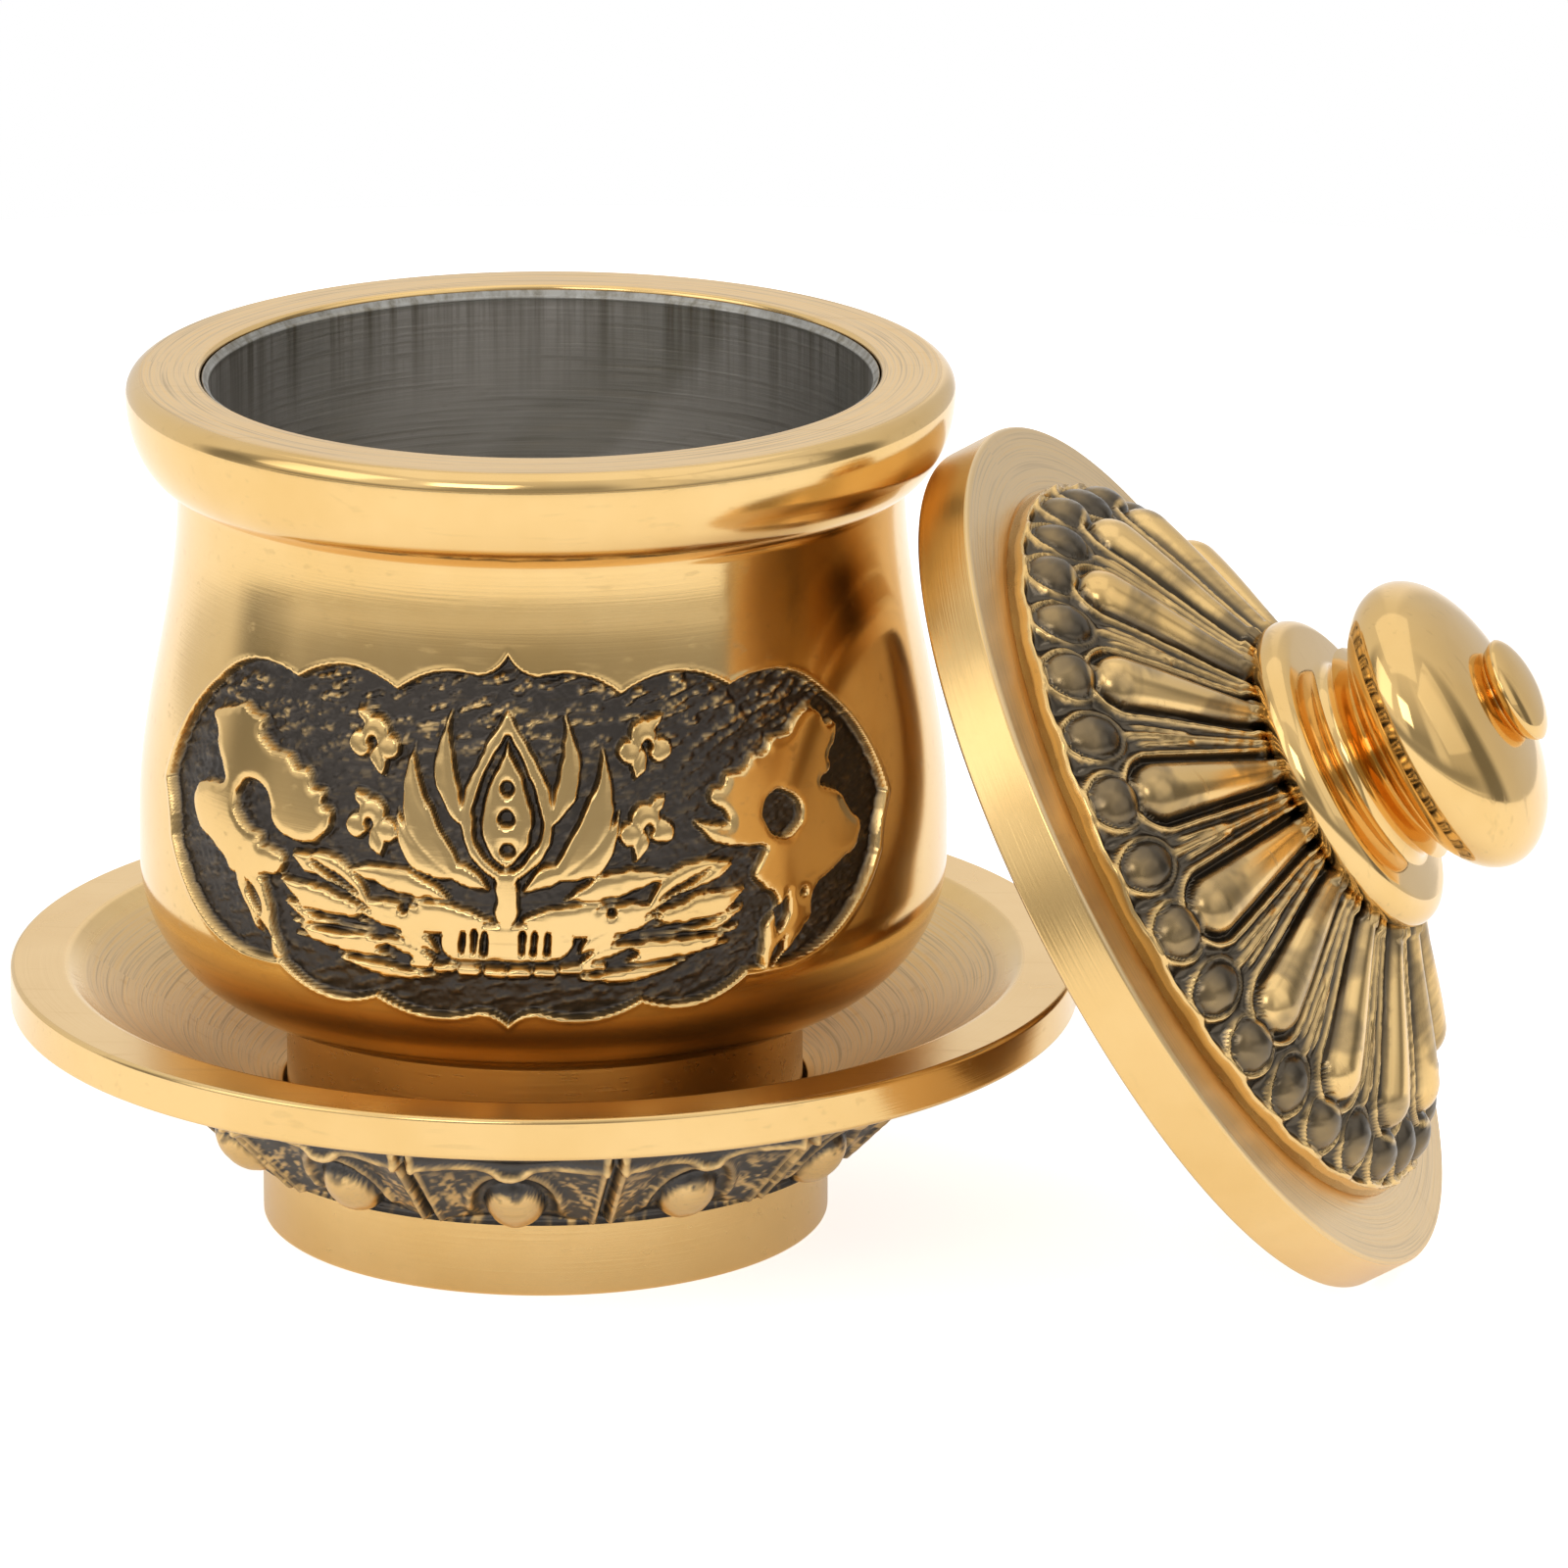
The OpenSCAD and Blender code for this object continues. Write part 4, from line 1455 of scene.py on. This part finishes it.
class EffectGroups:
    """Shader node groups that the finishes share."""

    streak_length: ClassVar[float] = 30.0
    hairs: ClassVar[tuple] = ((0.5, 14.0), (-0.9, 18.0), (2.1, 11.0))
    pit_scale: ClassVar[float] = 2400.0

    def __init__(self) -> None:
        """Builds every group once."""
        self.lathe = self.make_lathe_lines()
        self.wear = self.make_wear()
        self.streaks = self.make_streaks()

    @staticmethod
    def start(name: str, inputs: dict[str, float], outputs: list[str]) -> tuple:
        """Makes an empty group with float sockets.

        Args:
            name: Name of the group.
            inputs: Input names with their default values.
            outputs: Output names.

        Returns:
            The group's graph, the sockets that it reads and the sockets that it fills.
        """
        group = bpy.data.node_groups.new(name, "ShaderNodeTree")
        for label, value in inputs.items():
            socket = group.interface.new_socket(label, in_out="INPUT", socket_type="NodeSocketFloat")
            socket.default_value = value
        for label in outputs:
            group.interface.new_socket(label, in_out="OUTPUT", socket_type="NodeSocketFloat")
        inside, outside = group.nodes.new("NodeGroupInput"), group.nodes.new("NodeGroupOutput")
        return Graph(group), inside.outputs, outside.inputs

    def make_lathe_lines(self) -> bpy.types.NodeTree:
        """Makes fine turning lines round the piece's own axis, broken up along their length.

        Returns:
            The new group.
        """
        graph, inside, outside = self.start("Lathe lines", {"Fineness": 5200.0, "Breaks": 1.6}, ["Lines"])
        x, y, z = graph.split(graph.own_spot())
        radius = graph.math("SQRT", graph.plus(graph.times(x, x), graph.times(y, y)))
        turn = graph.math("ARCTAN2", y, x)
        fine, breaks = inside["Fineness"], inside["Breaks"]
        spot = graph.joined(graph.times(radius, fine), graph.times(z, fine), graph.times(turn, breaks))
        graph.feed(outside["Lines"], graph.noise(spot, 1.0, 3.0, 0.6))
        return graph.tree

    def make_streaks(self) -> bpy.types.NodeTree:
        """Makes upright streaks along the piece's own axis, strongest near its top.

        Returns:
            The new group.
        """
        inputs = {"Fineness": 1000.0, "Top": 0.062, "Reach": 0.009}
        graph, inside, outside = self.start("Upright streaks", inputs, ["Streaks"])
        x, y, z = graph.split(graph.own_spot())
        fine = inside["Fineness"]
        spot = graph.joined(graph.times(x, fine), graph.times(y, fine), graph.times(z, self.streak_length))
        line = graph.step(graph.noise(spot, 1.0, 4.0, 0.65), 0.42, 0.68)
        depth = graph.math("DIVIDE", graph.minus(inside["Top"], z), inside["Reach"])
        graph.feed(outside["Streaks"], graph.times(line, graph.step(depth, 1.0, 0.0)))
        return graph.tree

    def make_wear(self) -> bpy.types.NodeTree:
        """Makes handling marks: broad smudges, fine scratches and small pits.

        Returns:
            The new group.
        """
        inputs = {"Smudge scale": 55.0, "Scratch scale": 90.0}
        graph, inside, outside = self.start("Handling wear", inputs, ["Smudges", "Scratches", "Pits"])
        spot = graph.own_spot()
        graph.feed(outside["Smudges"], graph.noise(spot, inside["Smudge scale"], 4.0, 0.62))
        lines: list[Socket] = []
        for angle, stretch in self.hairs:
            tilt = (angle, angle * 0.7, angle * 1.3)
            drawn = graph.add("Mapping", Vector=spot, Rotation=tilt, Scale=(1.0, stretch, stretch)).outputs[0]
            lines.append(graph.step(graph.noise(drawn, inside["Scratch scale"], 2.0), 0.66, 0.74))
        graph.feed(outside["Scratches"], graph.most(graph.most(lines[0], lines[1]), lines[2]))
        graph.feed(outside["Pits"], graph.step(graph.noise(spot, self.pit_scale, 2.0), 0.7, 0.8))
        return graph.tree


@dataclass(frozen=True)
class MetalFinish:
    """How one metal surface looks.

    The bright and deep tones make up the polished metal, pale is its matt tone, and patina covers what
    isn't bare. The roughnesses belong to the polished, the matt and the covered metal.
    """

    name: str
    bright: Colour
    deep: Colour
    patina: Colour
    pale: Colour
    rough: float
    satin_rough: float
    patina_rough: float
    line_bump: float
    line_fineness: float = 5200.0
    line_shade: float = 0.3
    scratches: float = 1.0
    scratch_shade: float = 0.12
    scratch_rough: float = 0.1
    scratch_bump: float = 0.02
    pit_bump: float = 0.006
    smudge_rough: float = 0.07
    streak_shade: float = 0.0
    relief: float = 0.0001
    relief_strength: float = 0.35

    def make(self, groups: EffectGroups) -> bpy.types.Material:
        """Builds the material.

        Args:
            groups: The shared effects.

        Returns:
            The new material.
        """
        material = bpy.data.materials.new(self.name)
        material.use_nodes = True
        graph = Graph(material.node_tree)
        shader = material.node_tree.nodes["Principled BSDF"].inputs
        wear = graph.add("Group", node_tree=groups.wear).outputs
        lines = graph.add("Group", node_tree=groups.lathe, Fineness=self.line_fineness).outputs["Lines"]
        scratch = graph.times(wear["Scratches"], self.scratches)
        bare, satin = graph.mark("bare"), graph.mark("satin")
        matt = graph.step(satin, 0.6, 1.0)
        rubbed = graph.step(lines, 0.36, 0.54, 1.0 - 2.0 * self.line_shade)
        tint = graph.ramp(wear["Smudges"], [(0.3, self.deep), (0.62, self.bright)])
        colour = graph.mix(bare, self.patina, graph.mix(graph.times(matt, rubbed), tint, self.pale))
        shade = graph.times(graph.step(lines, 0.52, 0.66), graph.times(matt, self.line_shade))
        shade = graph.most(shade, graph.times(scratch, self.scratch_shade))
        if self.streak_shade > 0.0:
            streaks = graph.add("Group", node_tree=groups.streaks).outputs["Streaks"]
            shade = graph.most(shade, graph.times(streaks, self.streak_shade))
        graph.feed(shader["Base Color"], graph.mix(shade, colour, self.line_tone))
        shader["Metallic"].default_value = 1.0
        clean = graph.plus(graph.times(satin, self.satin_rough - self.rough), self.rough)
        marked = graph.plus(clean, graph.times(scratch, self.scratch_rough))
        smudged = graph.plus(marked, graph.times(wear["Smudges"], self.smudge_rough))
        dulled = graph.add("Mix", data_type="FLOAT", Factor=bare, A=self.patina_rough, B=smudged)
        graph.feed(shader["Roughness"], dulled.outputs["Result"])
        raised = graph.times(lines, graph.times(graph.plus(satin, 0.12), self.line_bump))
        height = graph.minus(raised, graph.times(scratch, self.scratch_bump))
        height = graph.minus(height, graph.times(wear["Pits"], self.pit_bump))
        bump = graph.add("Bump", Height=height, Strength=self.relief_strength, Distance=self.relief)
        graph.feed(shader["Normal"], bump.outputs["Normal"])
        return material

    @property
    def line_tone(self) -> Colour:
        """Gives the darker tone in the turning lines and streaks."""
        return tuple(0.35 * channel for channel in self.deep)


class Finishes:
    """The set's materials, all made from the same effects."""

    def __init__(self) -> None:
        """Builds each finish once."""
        groups = EffectGroups()
        brass = MetalFinish(
            "polished brass", bright=(0.84, 0.575, 0.25), deep=(0.77, 0.5, 0.19),
            patina=(0.055, 0.049, 0.046), pale=(0.78, 0.565, 0.3), rough=0.1, satin_rough=0.34,
            patina_rough=0.5, line_bump=0.6,
        )
        grey, iron = (0.42, 0.41, 0.38), (0.5, 0.49, 0.47)
        self.polished = replace(brass, scratches=0.6, line_shade=0.46).make(groups)
        self.mirror = replace(
            brass, name="bright brass", rough=0.06, satin_rough=0.3, line_bump=0.25
        ).make(groups)
        self.carved = replace(
            brass, name="carved brass", patina=(0.07, 0.06, 0.052), rough=0.12, satin_rough=0.3,
            patina_rough=0.44,
        ).make(groups)
        self.brushed = replace(
            brass, name="brushed brass", rough=0.12, satin_rough=0.28, line_bump=0.9, scratches=0.25
        ).make(groups)
        cast = replace(brass, rough=0.17, satin_rough=0.3, line_bump=0.0)
        self.darkened = replace(
            cast, name="darkened brass", patina=(0.1, 0.082, 0.06), patina_rough=0.3
        ).make(groups)
        self.blackened = replace(
            cast, name="blackened brass", patina=(0.085, 0.079, 0.074), patina_rough=0.38
        ).make(groups)
        self.liner = MetalFinish(
            "dull liner", bright=grey, deep=(0.42, 0.35, 0.22), patina=(0.77, 0.745, 0.71), pale=grey,
            rough=0.3, satin_rough=0.38, patina_rough=0.34, line_bump=1.0, line_fineness=2400.0,
            line_shade=0.42, streak_shade=0.8,
        ).make(groups)
        self.steel = MetalFinish(
            "plain steel", bright=(0.6, 0.59, 0.57), deep=iron, patina=iron, pale=iron, rough=0.3,
            satin_rough=0.36, patina_rough=0.4, line_bump=0.6,
        ).make(groups)


@dataclass
class Studio:
    """The floor, the soft lamps, the surround and the camera.

    Camera sizes are in mm, degrees and the photograph's pixels, and the rest is in metres. The room's tones
    are greys by the share of a turn, and the front's are greys by the height of the line of sight.
    """

    image_px: float = 1600.0
    focal_px: float = 11844.0
    sensor_mm: float = 36.0
    distance: float = 832.3
    elevation: float = 16.635
    azimuth: float = 4.0
    shift_right: float = -17.07
    shift_up: float = -30.15
    floor_reach: float = 0.3
    floor_corners: int = 96
    floor_grey: float = 0.93
    floor_glow: float = 0.75
    floor_mirrored: float = 0.45
    lamp_aim: tuple[float, float, float] = (0.015, 0.0, 0.03)
    ceiling: float = 0.86
    room_tones: ClassVar[tuple] = (
        (0.0, 0.35), (0.05, 0.35), (0.08, 0.95), (0.2, 0.95), (0.225, 0.25), (0.265, 0.25), (0.29, 0.85),
        (0.4, 0.8), (0.46, 0.78), (0.48, 1.0), (0.52, 1.0), (0.545, 0.7), (0.64, 0.7), (0.68, 0.75),
        (0.7, 0.22), (0.74, 0.22), (0.765, 0.62), (0.86, 0.62), (0.88, 0.88), (0.91, 0.88), (0.94, 0.35),
        (1.0, 0.35),
    )
    front_tones: ClassVar[tuple] = (
        (-0.25, 0.1), (-0.178, 0.1), (-0.166, 0.66), (-0.13, 0.7), (-0.12, 0.95), (-0.105, 0.95),
        (-0.092, 0.46), (-0.03, 0.36), (0.05, 0.36), (0.15, 0.5),
    )

    def build(self) -> None:
        """Sets the stage round the object."""
        self.floor()
        self.lamps()
        self.surround()
        self.camera()
        bpy.context.scene.view_settings.view_transform = "Standard"

    def floor(self) -> None:
        """Lays a plain pale table top as the floor."""
        mesh = bpy.data.meshes.new("floor")
        turns = np.linspace(0.0, 2.0 * math.pi, self.floor_corners, endpoint=False)
        ring = [(self.floor_reach * math.cos(a), self.floor_reach * math.sin(a), 0.0) for a in turns]
        mesh.from_pydata(ring, [], [tuple(range(self.floor_corners))])
        floor = bpy.data.objects.new("floor", mesh)
        bpy.context.scene.collection.objects.link(floor)
        material = bpy.data.materials.new("pale floor")
        material.use_nodes = True
        graph = Graph(material.node_tree)
        shader = material.node_tree.nodes["Principled BSDF"].inputs
        shader["Base Color"].default_value = (self.floor_grey, self.floor_grey, self.floor_grey, 1.0)
        shader["Roughness"].default_value = 0.9
        shader["Specular IOR Level"].default_value = 0.1
        path = graph.add("LightPath").outputs
        mirrored = graph.most(path["Is Glossy Ray"], path["Is Transmission Ray"])
        shown = graph.most(path["Is Camera Ray"], graph.times(mirrored, self.floor_mirrored))
        graph.feed(shader["Emission Color"], shown)
        shader["Emission Strength"].default_value = self.floor_glow
        mesh.materials.append(material)

    def lamps(self) -> None:
        """Hangs soft lamps on the left, on the right, above and in front."""
        target = Vector(self.lamp_aim)
        for name, spot, size, power in (
            ("soft_left", (-0.9, -0.45, 0.7), 0.7, 1.3),
            ("soft_right", (0.95, -0.3, 0.75), 0.9, 0.8),
            ("soft_top", (0.0, 0.1, 1.2), 1.2, 1.2),
            ("soft_front", (-0.3, -1.15, 0.8), 0.5, 2.0),
        ):
            data = bpy.data.lights.new(name, "AREA")
            data.shape = "SQUARE"
            data.size = size
            data.energy = power
            lamp = bpy.data.objects.new(name, data)
            lamp.location = spot
            lamp.rotation_euler = (target - Vector(spot)).to_track_quat("-Z", "Y").to_euler()
            bpy.context.scene.collection.objects.link(lamp)

    def surround(self) -> None:
        """Makes the white surround, with darker stretches that metal shows between the lamps."""
        world = bpy.data.worlds.new("studio")
        bpy.context.scene.world = world
        world.use_nodes = True
        graph = Graph(world.node_tree)
        x, y, z = graph.split(graph.add("TexCoord").outputs["Generated"])
        turn = graph.plus(graph.math("DIVIDE", graph.math("ARCTAN2", x, y), 2.0 * math.pi), 0.5)
        room = graph.ramp(turn, [(at, (grey, grey, grey)) for at, grey in self.room_tones])
        room = graph.mix(graph.step(z, 0.35, 0.95), room, (self.ceiling, self.ceiling, self.ceiling))
        low, high = self.front_tones[0][0], self.front_tones[-1][0]
        stops = [((at - low) / (high - low), (grey, grey, grey)) for at, grey in self.front_tones]
        strips = graph.ramp(graph.step(z, low, high), stops)
        in_front = graph.times(graph.step(z, 0.2, 0.05), graph.step(y, 0.1, -0.35))
        skirted = graph.mix(in_front, room, strips)
        seen = graph.mix(graph.add("LightPath").outputs["Is Camera Ray"], skirted, (1.0, 1.0, 1.0))
        graph.feed(world.node_tree.nodes["Background"].inputs["Color"], seen)

    def camera(self) -> None:
        """Places the camera as fitted to the photograph's circles."""
        data = bpy.data.cameras.new("camera")
        data.sensor_width = self.sensor_mm
        data.lens = self.sensor_mm * self.focal_px / self.image_px
        data.clip_start, data.clip_end = 0.05, 20.0
        turn, rise = math.radians(self.azimuth), math.radians(self.elevation)
        right = Vector((math.cos(turn), math.sin(turn), 0.0))
        level = math.cos(rise)
        ahead = Vector((-math.sin(turn) * level, math.cos(turn) * level, -math.sin(rise)))
        up = right.cross(ahead)
        camera = bpy.data.objects.new("camera", data)
        camera.location = (-self.shift_right * right - self.shift_up * up - self.distance * ahead) * MM
        camera.rotation_euler = ahead.to_track_quat("-Z", "Y").to_euler()
        bpy.context.scene.collection.objects.link(camera)
        bpy.context.scene.camera = camera


def main() -> None:
    """Builds the set and its studio."""
    logging.basicConfig(level=logging.INFO, format="%(name)s: %(message)s")
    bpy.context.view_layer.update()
    finishes = Finishes()
    for part in (Saucer.from_frame(), Cup.from_frame(), Lid.from_frame()):
        for piece in part.build(finishes):
            LOG.info("%s: %d faces", piece.name, len(piece.data.polygons))
    Studio().build()


if __name__ == "__main__":
    main()
